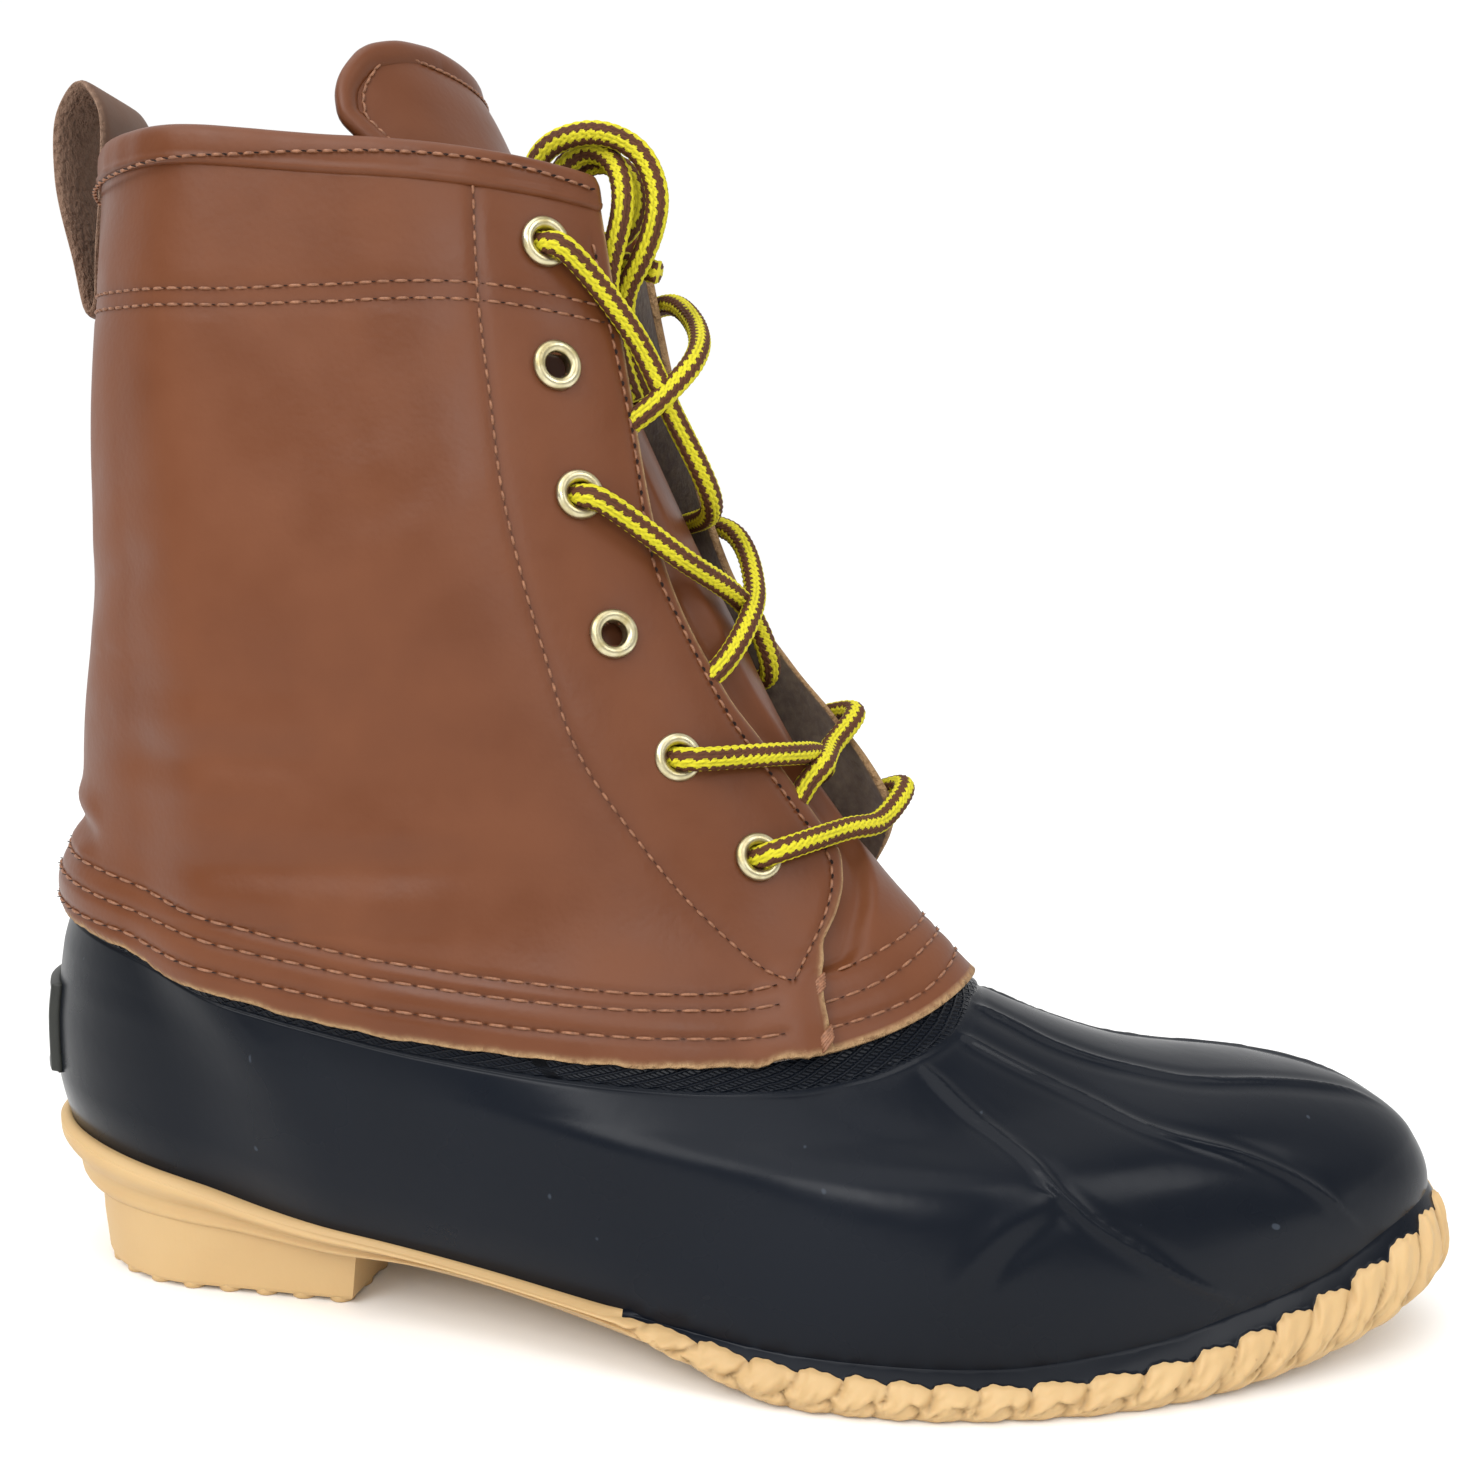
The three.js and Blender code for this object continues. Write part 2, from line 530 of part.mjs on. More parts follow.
function heelBlock() {
  const floor = HEEL_BACK - HEEL_CENTRE;
  const breast = floor + HEEL_LENGTH;
  const low = heelOutline(floor, breast, HEEL_HALF_WIDTH);
  const high = heelOutline(floor - HEEL_UNDERCUT, breast + HEEL_FLARE, HEEL_HALF_WIDTH + HEEL_FLARE);
  const unique = low.map((_, i) => i).filter((i) => i === 0 || low[i].distanceTo(low[i - 1]) > 1e-3)
    .filter((i) => i === 0 || low[i].distanceTo(low[0]) > 1e-3);
  const bottom = unique.map((i) => new THREE.Vector3(low[i].x, low[i].y, TREAD_DEPTH));
  const top = unique.map((i) => {
    const height = edgeHeight('under', high[i].x + HEEL_CENTRE) + HEEL_SINK;
    return new THREE.Vector3(high[i].x, high[i].y, height);
  });
  const count = unique.length;
  const triangles = [];
  const faces = THREE.ShapeUtils.triangulateShape(unique.map((i) => low[i]), []);
  faces.forEach(([a, b, c]) => {
    triangles.push([a, c, b], [count + a, count + b, count + c]);
  });
  for (let i = 0; i < count; i += 1) {
    const next = (i + 1) % count;
    triangles.push([i, next, count + next], [i, count + next, count + i]);
  }
  return toManifold(geometryFrom([...bottom, ...top], triangles));
}

function standingDisc(x, y, radius, height, sides) {
  const disc = new THREE.CylinderGeometry(radius, radius, height, sides);
  disc.rotateX(Math.PI / 2);
  disc.translate(x, y, height / 2);
  return toManifold(disc);
}

// Small round nubs along the heel's edge, and a flat pad at its centre.
function heelNubs() {
  const back = HEEL_BACK - HEEL_CENTRE;
  const inset = HEEL_NUB_RADIUS * 0.8;
  const half = HEEL_HALF_WIDTH - inset;
  const line = heelOutline(back + inset, back + HEEL_LENGTH - inset, half);
  const path = new THREE.CurvePath();
  line.forEach((point, i) => path.add(new THREE.LineCurve(point, line[(i + 1) % line.length])));
  const count = Math.round(path.getLength() / HEEL_NUB_PITCH);
  const nubs = range(count + 1).slice(0, count).map((share) => {
    const point = path.getPointAt(share);
    return standingDisc(point.x, point.y, HEEL_NUB_RADIUS, TREAD_DEPTH * 2, 6);
  });
  const pad = standingDisc(0, 0, HEEL_HALF_WIDTH * 0.45, TREAD_DEPTH * 2, 12);
  return [pad, ...nubs];
}

// Wavy bars across the ball of the foot.
function forefootLugs() {
  const first = 0.59 * SOLE_LENGTH;
  const last = 0.80 * SOLE_LENGTH;
  const count = Math.floor((last - first) / LUG_PITCH) + 1;
  return Array.from({ length: count }, (_, n) => {
    const x = first + n * LUG_PITCH;
    const along = (x / SOLE_LENGTH - UNDER_OUTLINE.backX) / (UNDER_OUTLINE.frontX - UNDER_OUTLINE.backX);
    const turn = Math.acos(2 * along - 1) / Math.PI;
    const outer = outlinePoint(UNDER_OUTLINE, -turn, 1).y;
    const inner = outlinePoint(UNDER_OUTLINE, turn, 1).y;
    const wave = range(7).map((share) => new THREE.Vector2(
      x - HEEL_CENTRE + Math.sin(share * Math.PI * 4) * LUG_WAVE,
      THREE.MathUtils.lerp(outer + LUG_INSET, inner - LUG_INSET, share),
    ));
    const front = wave.map((point) => new THREE.Vector2(point.x + LUG_WIDTH / 2, point.y));
    const rear = wave.map((point) => new THREE.Vector2(point.x - LUG_WIDTH / 2, point.y)).reverse();
    const depth = edgeHeight('under', x) + 1;
    const bar = new THREE.Shape([...front, ...rear]);
    return toManifold(new THREE.ExtrudeGeometry(bar, { depth, bevelEnabled: false }));
  });
}

// Rubber shell
function ridgeBar(points, side) {
  const path = points.map(([level, turn]) => skin(level, side * turn, 0));
  const normals = points.map(([level, turn]) => skinNormal(level, side * turn));
  const curve = new THREE.CatmullRomCurve3(path);
  const normalCurve = new THREE.CatmullRomCurve3(normals);
  const steps = points.length;
  const sections = range(steps + 1).map((share) => {
    const middle = curve.getPoint(share);
    const normal = normalCurve.getPoint(share).normalize();
    const across = curve.getTangent(share).cross(normal).normalize();
    const fade = Math.min(1, 4 * share, 4 * (1 - share));
    const height = RIDGE_HEIGHT * Math.max(0.35, fade);
    return [
      middle.clone().addScaledVector(across, RIDGE_WIDTH / 2).addScaledVector(normal, -RIDGE_ROOT),
      middle.clone().addScaledVector(normal, height),
      middle.clone().addScaledVector(across, -RIDGE_WIDTH / 2).addScaledVector(normal, -RIDGE_ROOT),
    ];
  });
  const triangles = [];
  for (let j = 0; j < steps; j += 1) {
    for (let i = 0; i < 3; i += 1) {
      const next = (i + 1) % 3;
      const a = j * 3 + i;
      const b = j * 3 + next;
      triangles.push([a, b + 3, b], [a, a + 3, b + 3]);
    }
  }
  const end = steps * 3;
  triangles.push([0, 1, 2], [end, end + 2, end + 1]);
  return toManifold(geometryFrom(sections.flat(), triangles));
}

function rubberShell() {
  const low = [0, 0.15, 0.30, 0.45, 0.60, 0.74, 0.86, 0.945];
  const levels = [...low, BAND_LEVEL, BAND_TOP_LEVEL, 1, RUBBER_LAP_LEVEL];
  const step = (level) => (level >= BAND_LEVEL && level <= BAND_TOP_LEVEL ? BAND_STEP : 0);
  const outer = levels.map((level) => SHELL_TURNS.map((turn) => skin(level, turn, step(level))));
  const inner = levels.map((level) => SHELL_TURNS.map((turn) => skin(level, turn, -RUBBER_WALL)));
  const shell = toManifold(wall(outer, inner, true));
  const bars = RIDGES.flatMap((ridge) => [ridgeBar(ridge, -1), ridgeBar(ridge, 1)]);
  return toGeometry(join([shell, ...bars]));
}

// Leather quarters in one piece round the heel, open in front
function quarterTurns(level) {
  const shared = SHELL_TURNS.filter((turn) => turn > FLAP_ROOT_TURN);
  const side = (column) => {
    const edge = sample(QUARTER_EDGE, 'level', column, level);
    const free = range(5).slice(0, 4).map((share) => THREE.MathUtils.lerp(edge, shared[0], share));
    return [...free, ...shared];
  };
  return [...side('inner'), ...side('outer').reverse().map((turn) => -turn)];
}

const SHAFT_TOP_LEVEL = 3 - (BINDING_HEIGHT + GAP) / COLLAR_LEVEL_RISE;

function shaft() {
  const between = [1.29, 1.36, 1.44, 1.52, 1.60, 1.70, 1.82, 2.00, 2.25, 2.60];
  const levels = [LEATHER_FOOT_LEVEL, RUBBER_LAP_LEVEL, ...between, SHAFT_TOP_LEVEL];
  const grid = (out) => levels.map((level) => quarterTurns(level).map((turn) => quarter(level, turn, out)));
  const solid = toManifold(wall(grid(LEATHER_OUTSIDE), grid(GAP)));
  return toGeometry(solid.subtract(join(eyeletPlaces().map(eyeletHole))));
}

// Eyelets
function eyeletPlaces() {
  return [-1, 1].flatMap((side) => EYELETS.map(({ level, turn }, row) => ({
    name: `eyelet_${side < 0 ? 'outer' : 'inner'}_${row + 1}`,
    point: quarter(level, side * turn, LEATHER_OUTSIDE),
    normal: quarterNormal(level, side * turn),
  })));
}

function turnedTo(geometry, { point, normal }) {
  const turn = new THREE.Quaternion().setFromUnitVectors(new THREE.Vector3(0, 1, 0), normal);
  geometry.applyQuaternion(turn);
  geometry.translate(point.x, point.y, point.z);
  return geometry;
}

const BARREL_RADIUS = EYELET_BORE / 2 + EYELET_BARREL_WALL;

function eyeletHole(place) {
  const radius = BARREL_RADIUS + GAP;
  return toManifold(turnedTo(new THREE.CylinderGeometry(radius, radius, LEATHER_WALL * 3, 8), place));
}

function eyelet(place) {
  const bore = EYELET_BORE / 2;
  const flange = EYELET_FLANGE / 2;
  const profile = [
    [bore, -LEATHER_WALL + GAP],
    [BARREL_RADIUS, -LEATHER_WALL + GAP],
    [BARREL_RADIUS, EYELET_SEAT],
    [flange, EYELET_SEAT],
    [(bore + flange) / 2, EYELET_SEAT + EYELET_CROWN],
    [bore, EYELET_SEAT + EYELET_CROWN * 0.6],
    [bore, -LEATHER_WALL + GAP],
  ].map(([radius, height]) => new THREE.Vector2(radius, height));
  return turnedTo(new THREE.LatheGeometry(profile, 8), place);
}

// Tongue and front of the shaft
function tongueCover(level, turn) {
  const edge = sample(QUARTER_EDGE, 'level', turn < 0 ? 'outer' : 'inner', level);
  if (level < 1.3) return LEATHER_OUTSIDE;
  const under = smooth((Math.abs(turn) - (edge - 0.075)) / 0.035);
  return LEATHER_OUTSIDE * (1 - under) - TONGUE_TUCK * under;
}

function tonguePoint(row, share, depth) {
  const turn = row.half * share;
  const cover = row.level < 3 ? tongueCover(row.level, turn) : 0;
  const point = skin(row.level, turn, cover - depth);
  point.x -= row.setback * SOLE_LENGTH;
  point.z += row.rise;
  return point;
}

function tongueRows() {
  const between = [1.26, 1.32, 1.40, 1.50, 1.62, 1.80, 2.05, 2.35, 2.70];
  const lower = [LEATHER_FOOT_LEVEL, RUBBER_LAP_LEVEL, ...between].map((level) => ({
    level,
    setback: sample(TONGUE_ROWS, 'level', 'setback', level),
    half: sample(TONGUE_ROWS, 'level', 'half', level),
    rise: 0,
  }));
  const upper = TONGUE_TOP.map((row) => ({
    level: 3,
    setback: row.setback,
    half: row.half,
    rise: row.at * TONGUE_RISE,
  }));
  return [...lower, ...upper];
}

function tongue() {
  const shares = range(13).map((share) => share * 2 - 1);
  const rows = tongueRows();
  const grid = (depth) => rows.map((row) => shares.map((share) => tonguePoint(row, share, depth)));
  return wall(grid(0), grid(TONGUE_WALL));
}

// Insole
function insole() {
  const inset = RUBBER_WALL + GAP * 2;
  const widthAt = (turn) => Math.abs(skinPoint(0, turn).y - skinPoint(0, -turn).y);
  const turns = SHELL_TURNS.filter((turn) => widthAt(turn) > inset * 9);
  const ring = (lift) => turns.map((turn) => {
    const point = skinPoint(0, turn);
    const side = Math.abs(skinNormal(0, turn).y);
    point.y -= (Math.sign(turn) * inset) / Math.max(0.35, side);
    point.z += lift;
    return point;
  });
  return stack([ring(0), ring(INSOLE_THICKNESS)]);
}

// Rolled binding of the collar
function collarBinding() {
  const foot = SHAFT_TOP_LEVEL + 0.0025;
  const turns = quarterTurns(3);
  const centre = GAP + LEATHER_WALL / 2;
  const half = BINDING_THICKNESS / 2;
  const row = (share, width, side) => turns.map((turn) => {
    const level = THREE.MathUtils.lerp(foot, 2.999, share);
    return quarter(level, turn, centre + side * half * width);
  });
  const profile = [[0, 0.8], [0.45, 1], [1, 0.4]];
  const outer = profile.map(([share, width]) => row(share, width, 1));
  const inner = profile.map(([share, width]) => row(share, width, -1));
  return wall(outer, inner);
}

// Loop at the back, and the narrow strip that runs down the seam from it
function pullLoop() {
  const seam = (level) => skin(level, 1, LEATHER_OUTSIDE + GAP + BINDING_PROUD + STRAP_THICKNESS / 2);
  const root = seam(LOOP_ROOT_LEVEL);
  const collarX = skinPoint(3, 1).x;
  const free = (back, height) => new THREE.Vector3(
    collarX - back * LOOP_REACH,
    0,
    THREE.MathUtils.lerp(root.z, LOOP_TOP - STRAP_THICKNESS / 2, height),
  );
  const tip = root.clone();
  tip.x -= STRAP_THICKNESS * 0.8;
  tip.z -= STRAP_THICKNESS * 0.8;
  const middle = [
    tip,
    free(0.74, 0.22),
    free(0.98, 0.58),
    free(0.95, 0.87),
    free(0.62, 1.00),
    free(0.32, 0.88),
    seam(2.97),
    seam(2.86),
    root,
  ];
  const curve = new THREE.CatmullRomCurve3(middle, true, 'centripetal');
  const count = 24;
  const ring = (out, y) => Array.from({ length: count }, (_, i) => {
    const point = curve.getPoint(i / count);
    const normal = curve.getTangent(i / count).setY(0).cross(new THREE.Vector3(0, 1, 0)).normalize();
    return point.setY(y).addScaledVector(normal, out * STRAP_THICKNESS / 2);
  });
  const sides = [-STRAP_WIDTH / 2, STRAP_WIDTH / 2];
  return wall(sides.map((y) => ring(1, y)), sides.map((y) => ring(-1, y)), true);
}

function backstay() {
  const levels = [1.34, 1.5, 1.75, 2, 2.3, 2.55, 2.69];
  const turns = range(5).map((share) => wrapTurn(1 + (share * 2 - 1) * BACKSTAY_HALF_TURN));
  const grid = (out) => levels.map((level) => turns.map((turn) => skin(level, turn, out)));
  const inner = LEATHER_OUTSIDE + GAP;
  return wall(grid(inner + BACKSTAY_THICKNESS), grid(inner));
}

// Bare plate on the back of the rubber
function heelBadge() {
  const middle = 0.52;
  const reach = BADGE_HEIGHT / 2 / BACK_LEVEL_RISE;
  const levels = [middle - reach, middle, middle + reach];
  const halfTurn = BADGE_WIDTH / 2 / HEEL_TURN_LENGTH;
  const turns = range(7).map((share) => wrapTurn(1 + (share * 2 - 1) * halfTurn));
  const grid = (out) => levels.map((level) => turns.map((turn) => skin(level, turn, out)));
  return wall(grid(BADGE_SEAT + BADGE_THICKNESS), grid(BADGE_SEAT));
}

// Laces: two runs cross between each laced pair of eyelets, and one bar closes the lowest pair
function laceTube(points, steps) {
  const circle = new THREE.EllipseCurve(0, 0, LACE_RADIUS, LACE_RADIUS).getPoints(LACE_SIDES);
  const section = new THREE.Shape(circle.slice(0, -1));
  const extrudePath = new THREE.CatmullRomCurve3(points, false, 'centripetal');
  return new THREE.ExtrudeGeometry(section, { steps, extrudePath, bevelEnabled: false });
}

const LACE_OVER_LEATHER = LEATHER_OUTSIDE + LACE_RADIUS + LACE_CLEARANCE;
const LACE_OVER_EYELET = LACE_OVER_LEATHER + EYELET_SEAT + EYELET_CROWN + LACE_CLEARANCE;

function laceCross({ eyelet: row, under, over }) {
  const { level, turn } = EYELETS[row];
  const edge = (at, column) => sample(QUARTER_EDGE, 'level', column, at);
  const between = (from, to, share) => THREE.MathUtils.lerp(from, to, share);
  const underMiddle = between(level, under, 0.6);
  const overMiddle = between(over, level, 0.35);
  const underRun = [
    quarter(level, -turn, LACE_OVER_EYELET),
    skin(between(level, under, 0.3), -edge(level, 'outer'), LACE_OVER_LEATHER),
    skin(underMiddle, 0, LACE_OVER_LEATHER),
    skin(under, edge(under, 'inner') - LACE_EDGE_TURN, LACE_OVER_LEATHER - LACE_CLEARANCE),
  ];
  const overRun = [
    skin(over, -edge(over, 'outer') + LACE_EDGE_TURN, LACE_OVER_LEATHER),
    skin(overMiddle, 0, LACE_OVER_LEATHER),
    quarter(between(over, level, 0.85), edge(level, 'inner'), LACE_OVER_LEATHER + LACE_RADIUS),
    quarter(level, turn, LACE_OVER_EYELET),
  ];
  const tubes = [underRun, overRun].map((points) => toManifold(laceTube(points, LACE_STEPS)));
  return toGeometry(join(tubes));
}

function laceBar() {
  const { level, turn } = EYELETS[5];
  const edge = sample(QUARTER_EDGE, 'level', 'inner', level);
  return laceTube([
    quarter(level, -turn, LACE_OVER_EYELET),
    skin(level, -edge, LACE_OVER_LEATHER),
    skin(level - 0.04, 0, LACE_OVER_LEATHER + LACE_RADIUS),
    quarter(level, edge, LACE_OVER_LEATHER + LACE_RADIUS),
    quarter(level, turn, LACE_OVER_EYELET),
  ], LACE_STEPS);
}

// Free ends: two strands rise behind the top crossing and are wound into a small hank before the tongue
const STRANDS = {
  lace_end_1: [
    [85.85, -9.5, 188.0],
    [82.95, -10.4, 196.0],
    [80.75, -11.6, 206.0],
    [80.3, -12.6, 215.5],
  ],
  lace_end_2: [
    [86.95, -4.0, 188.0],
    [84.15, -4.9, 196.0],
    [81.8, -5.9, 206.0],
    [81.0, -7.0, 215.5],
  ],
};
// The hank's outline: a small round end that leans on the tongue, and a large one in front
const HANK_ENDS = [
  { x: 68.3, z: 235.2, radius: 6.8 },
  { x: 79.5, z: 229.4, radius: 13.4 },
];
const HANK_MIDDLE_Y = -10.8;
const HANK_SIDES = 12;

function laceStrand(name) {
  const points = STRANDS[name].map(([x, y, z]) => new THREE.Vector3(x, y, z));
  return laceTube(points, STRAND_STEPS);
}

function laceHank() {
  const depth = HANK_TURNS_DEEP * LACE_DIAMETER;
  const ends = HANK_ENDS.map(({ x, z, radius }) => {
    const circle = new THREE.EllipseCurve(x, z, radius, radius).getPoints(HANK_SIDES).slice(0, -1);
    return circle.map((point) => [point.x, point.y]);
  });
  const outline = wasm.CrossSection.hull(ends.flat());
  const slab = outline.extrude(depth).rotate([90, 0, 0]);
  return toGeometry(slab.translate([0, HANK_MIDDLE_Y + depth / 2, 0]));
}

const boot = new THREE.Group();

function add(name, geometry, finish) {
  const plain = geometry.clone();
  plain.deleteAttribute('normal');
  plain.deleteAttribute('uv');
  const mesh = new THREE.Mesh(mergeVertices(plain, 1e-4), new THREE.MeshStandardMaterial(finishes[finish]));
  mesh.name = name;
  boot.add(mesh);
}

add('outsole', outsole(), 'gum');
add('rubber_shell', rubberShell(), 'rubber');
add('shaft', shaft(), 'leather');
add('tongue', tongue(), 'leather');
add('insole', insole(), 'insole');
add('collar_binding', collarBinding(), 'leather');
add('pull_loop', pullLoop(), 'leather');
add('backstay', backstay(), 'leather');
add('heel_badge', heelBadge(), 'badge');
eyeletPlaces().forEach((place) => add(place.name, eyelet(place), 'brass'));
CROSSINGS.forEach((crossing) => add(crossing.name, laceCross(crossing), 'lace'));
add('lace_bar_6', laceBar(), 'lace');
Object.keys(STRANDS).forEach((name) => add(name, laceStrand(name), 'lace'));
add('lace_hank', laceHank(), 'lace');

export default boot;
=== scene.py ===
"""Duck boot for the right foot: a moulded rubber shoe on a gum sole, under a laced leather shaft.

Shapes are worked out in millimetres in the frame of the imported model: +X to the toe, +Y to the inner side of
the foot, +Z up, with the origin on the floor under the heel. Meshes are stored in metres.
"""
from __future__ import annotations

import json
import logging
from dataclasses import dataclass, field
from enum import Enum

import bpy
import numpy as np
from mathutils import Matrix

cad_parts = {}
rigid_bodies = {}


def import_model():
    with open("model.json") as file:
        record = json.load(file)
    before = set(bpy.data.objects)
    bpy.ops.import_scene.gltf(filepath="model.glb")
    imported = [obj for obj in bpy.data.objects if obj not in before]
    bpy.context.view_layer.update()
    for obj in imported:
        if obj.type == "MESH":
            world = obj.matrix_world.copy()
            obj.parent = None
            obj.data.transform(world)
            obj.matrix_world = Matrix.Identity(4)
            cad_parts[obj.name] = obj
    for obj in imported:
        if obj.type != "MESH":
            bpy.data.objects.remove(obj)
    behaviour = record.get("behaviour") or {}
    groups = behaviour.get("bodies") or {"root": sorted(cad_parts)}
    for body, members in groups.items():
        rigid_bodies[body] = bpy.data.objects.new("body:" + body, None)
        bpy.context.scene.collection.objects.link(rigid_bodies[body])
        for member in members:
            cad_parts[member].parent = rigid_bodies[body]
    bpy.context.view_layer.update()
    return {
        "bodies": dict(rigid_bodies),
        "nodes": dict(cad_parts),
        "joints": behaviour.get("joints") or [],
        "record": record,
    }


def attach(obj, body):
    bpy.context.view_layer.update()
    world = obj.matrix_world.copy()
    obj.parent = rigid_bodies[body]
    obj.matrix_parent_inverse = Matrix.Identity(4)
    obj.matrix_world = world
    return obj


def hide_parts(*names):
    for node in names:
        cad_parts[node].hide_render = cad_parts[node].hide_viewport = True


LOG = logging.getLogger("duck_boot")

Points = np.ndarray
LevelTurn = tuple[tuple[float, float], ...]
Spot = tuple[float, float, float]
Route = tuple[Spot, ...]

MM = 0.001


# Tables of the boot's form, the same as the solids'

SOLE_LENGTH = 300.0
SOLE_HALF_WIDTH = 53.5
RUBBER_HEIGHT = 78.0
SHAFT_RISE = 160.0
HEEL_BACK = 10.0
HEEL_LENGTH = 68.7
HEEL_HALF_WIDTH = 31.5
HEEL_CENTRE = HEEL_BACK + HEEL_LENGTH / 2
GAP = 0.3
LEATHER_WALL = 2.2
LEATHER_OUTSIDE = GAP + LEATHER_WALL
FLAP_LIFT = 13.0
FLAP_ROOT_TURN = 0.32

# level, back x, back z, front x, front z, heel, waist and fore widths, sag, nose, toe start, heel round
RUBBER_RINGS = np.array([
    [0.00, 0.012, 0.282, 0.985, 0.250, 0.593, 0.606, 0.910, 0.183, 1.75, 0.65, 0.15],
    [0.15, 0.002, 0.397, 0.992, 0.397, 0.626, 0.692, 0.940, 0.291, 1.75, 0.65, 0.15],
    [0.35, -0.007, 0.551, 0.980, 0.526, 0.673, 0.766, 0.963, 0.269, 1.80, 0.65, 0.16],
    [0.55, -0.008, 0.692, 0.942, 0.635, 0.682, 0.804, 0.944, 0.224, 1.90, 0.64, 0.17],
    [0.70, -0.005, 0.795, 0.880, 0.692, 0.682, 0.813, 0.916, 0.192, 2.00, 0.62, 0.18],
    [0.85, -0.002, 0.897, 0.793, 0.724, 0.673, 0.804, 0.869, 0.179, 2.00, 0.58, 0.20],
    [1.00, 0.005, 1.000, 0.677, 0.878, 0.654, 0.785, 0.813, 0.177, 2.00, 0.55, 0.22],
])
SHAFT_RINGS = np.array([
    [1.15, 0.007, 0.047, 0.655, -0.019, 0.645, 0.776, 0.794, 0.179, 2, 0.55, 0.23],
    [1.30, 0.023, 0.103, 0.633, 0.022, 0.654, 0.766, 0.766, 0.176, 2, 0.55, 0.24],
    [1.50, 0.027, 0.181, 0.603, 0.081, 0.682, 0.766, 0.738, 0.122, 2, 0.56, 0.26],
    [1.75, 0.032, 0.288, 0.560, 0.188, 0.710, 0.785, 0.729, 0.064, 2, 0.57, 0.28],
    [2.00, 0.037, 0.406, 0.520, 0.313, 0.738, 0.794, 0.738, 0.038, 2, 0.58, 0.30],
    [2.30, 0.040, 0.563, 0.483, 0.475, 0.766, 0.813, 0.748, 0.019, 2, 0.58, 0.32],
    [2.65, 0.047, 0.763, 0.450, 0.700, 0.794, 0.822, 0.748, 0.006, 2, 0.58, 0.34],
    [3.00, 0.055, 1.000, 0.425, 0.956, 0.804, 0.822, 0.748, 0.000, 2, 0.58, 0.36],
])
# share of the length, sag at the bed, at the sole's rim and at the leather's edge
SAG = np.array([
    [0.00, 0.000, 0.000, 0.00], [0.05, 0.030, 0.080, 0.10], [0.13, 0.080, 0.260, 0.28],
    [0.20, 0.210, 0.460, 0.50], [0.27, 0.370, 0.585, 0.68], [0.35, 0.540, 0.700, 0.83],
    [0.47, 0.755, 0.845, 0.97], [0.58, 0.930, 0.970, 1.00], [0.70, 1.000, 1.000, 0.99],
    [0.80, 0.910, 0.870, 0.92], [0.86, 0.720, 0.700, 0.78], [0.92, 0.450, 0.480, 0.55],
    [0.96, 0.240, 0.220, 0.32], [1.00, 0.000, 0.000, 0.00],
])
# share of the length, sideways bend
BEND = np.array([
    [0.000, 0.000], [0.167, -0.009], [0.267, -0.028], [0.367, -0.052], [0.467, -0.080], [0.550, -0.080],
    [0.650, -0.043], [0.760, 0.036], [0.817, 0.088], [0.873, 0.135], [0.933, 0.155], [1.000, 0.121],
])
# share of the length, height of the sole edge's foot and of the underside
UNDERSIDE = np.array([
    [0.000, 0.224, 0.218], [0.133, 0.199, 0.192], [0.267, 0.168, 0.154], [0.333, 0.165, 0.135],
    [0.393, 0.145, 0.115], [0.437, 0.131, 0.097], [0.473, 0.106, 0.077], [0.517, 0.058, 0.044],
    [0.550, 0.021, 0.023], [0.583, 0.005, 0.018], [0.783, 0.005, 0.018], [0.833, 0.013, 0.026],
    [0.883, 0.036, 0.051], [0.933, 0.077, 0.090], [0.967, 0.115, 0.126], [1.000, 0.154, 0.160],
])
# level, outer edge's turn, inner edge's turn, how far the inner flap stands off
QUARTER_EDGE = np.array([
    [1.00, 0.247, 0.247, 0.00], [1.28, 0.215, 0.215, 0.00], [1.36, 0.186, 0.186, 0.15],
    [1.45, 0.137, 0.137, 0.50], [1.53, 0.098, 0.095, 0.80], [1.60, 0.075, 0.070, 0.95],
    [1.73, 0.081, 0.068, 1.00], [1.87, 0.098, 0.080, 0.95], [2.00, 0.122, 0.095, 0.80],
    [2.30, 0.140, 0.115, 0.35], [2.65, 0.134, 0.120, 0.18], [3.00, 0.138, 0.130, 0.00],
])
# level, setback, half width in turns
TONGUE_ROWS = np.array([
    [1.00, 0.000, 0.241], [1.28, 0.000, 0.209], [1.34, 0.000, 0.196], [1.45, 0.000, 0.210],
    [1.70, 0.000, 0.270], [2.10, 0.004, 0.290], [2.35, 0.016, 0.290], [2.65, 0.036, 0.290],
    [3.00, 0.068, 0.280],
])
# share of the tongue's rise, setback, half width in turns
TONGUE_TOP = np.array([
    [0.00, 0.068, 0.280], [0.40, 0.090, 0.262], [0.75, 0.106, 0.215], [0.93, 0.116, 0.150],
    [1.00, 0.121, 0.085],
])
TONGUE_RISE = 29.0
TONGUE_WALL = 2.0
TONGUE_TUCK = 0.6
EYELETS = ((2.860, 0.234), (2.655, 0.240), (2.420, 0.242), (2.135, 0.246), (1.860, 0.229), (1.620, 0.196))


class Side(Enum):
    """Which side of the boot, as the sign of the turn."""

    OUTER = -1
    INNER = 1


@dataclass(frozen=True)
class Outline:
    """Plan outline of one ring, as shares of the sole's length and half width."""

    back: float
    front: float
    heel: float
    waist: float
    fore: float
    nose: float = 1.75
    toe_start: float = 0.65
    heel_round: float = 0.15


RIM_OUTLINE = Outline(-0.005, 0.999, 0.672, 0.716, 1.010)
BELLY_OUTLINE = Outline(0.002, 1.003, 0.652, 0.712, 1.018)
FOOT_OUTLINE = Outline(0.015, 0.990, 0.620, 0.676, 1.000)
UNDER_OUTLINE = Outline(0.038, 0.967, 0.490, 0.545, 0.890)


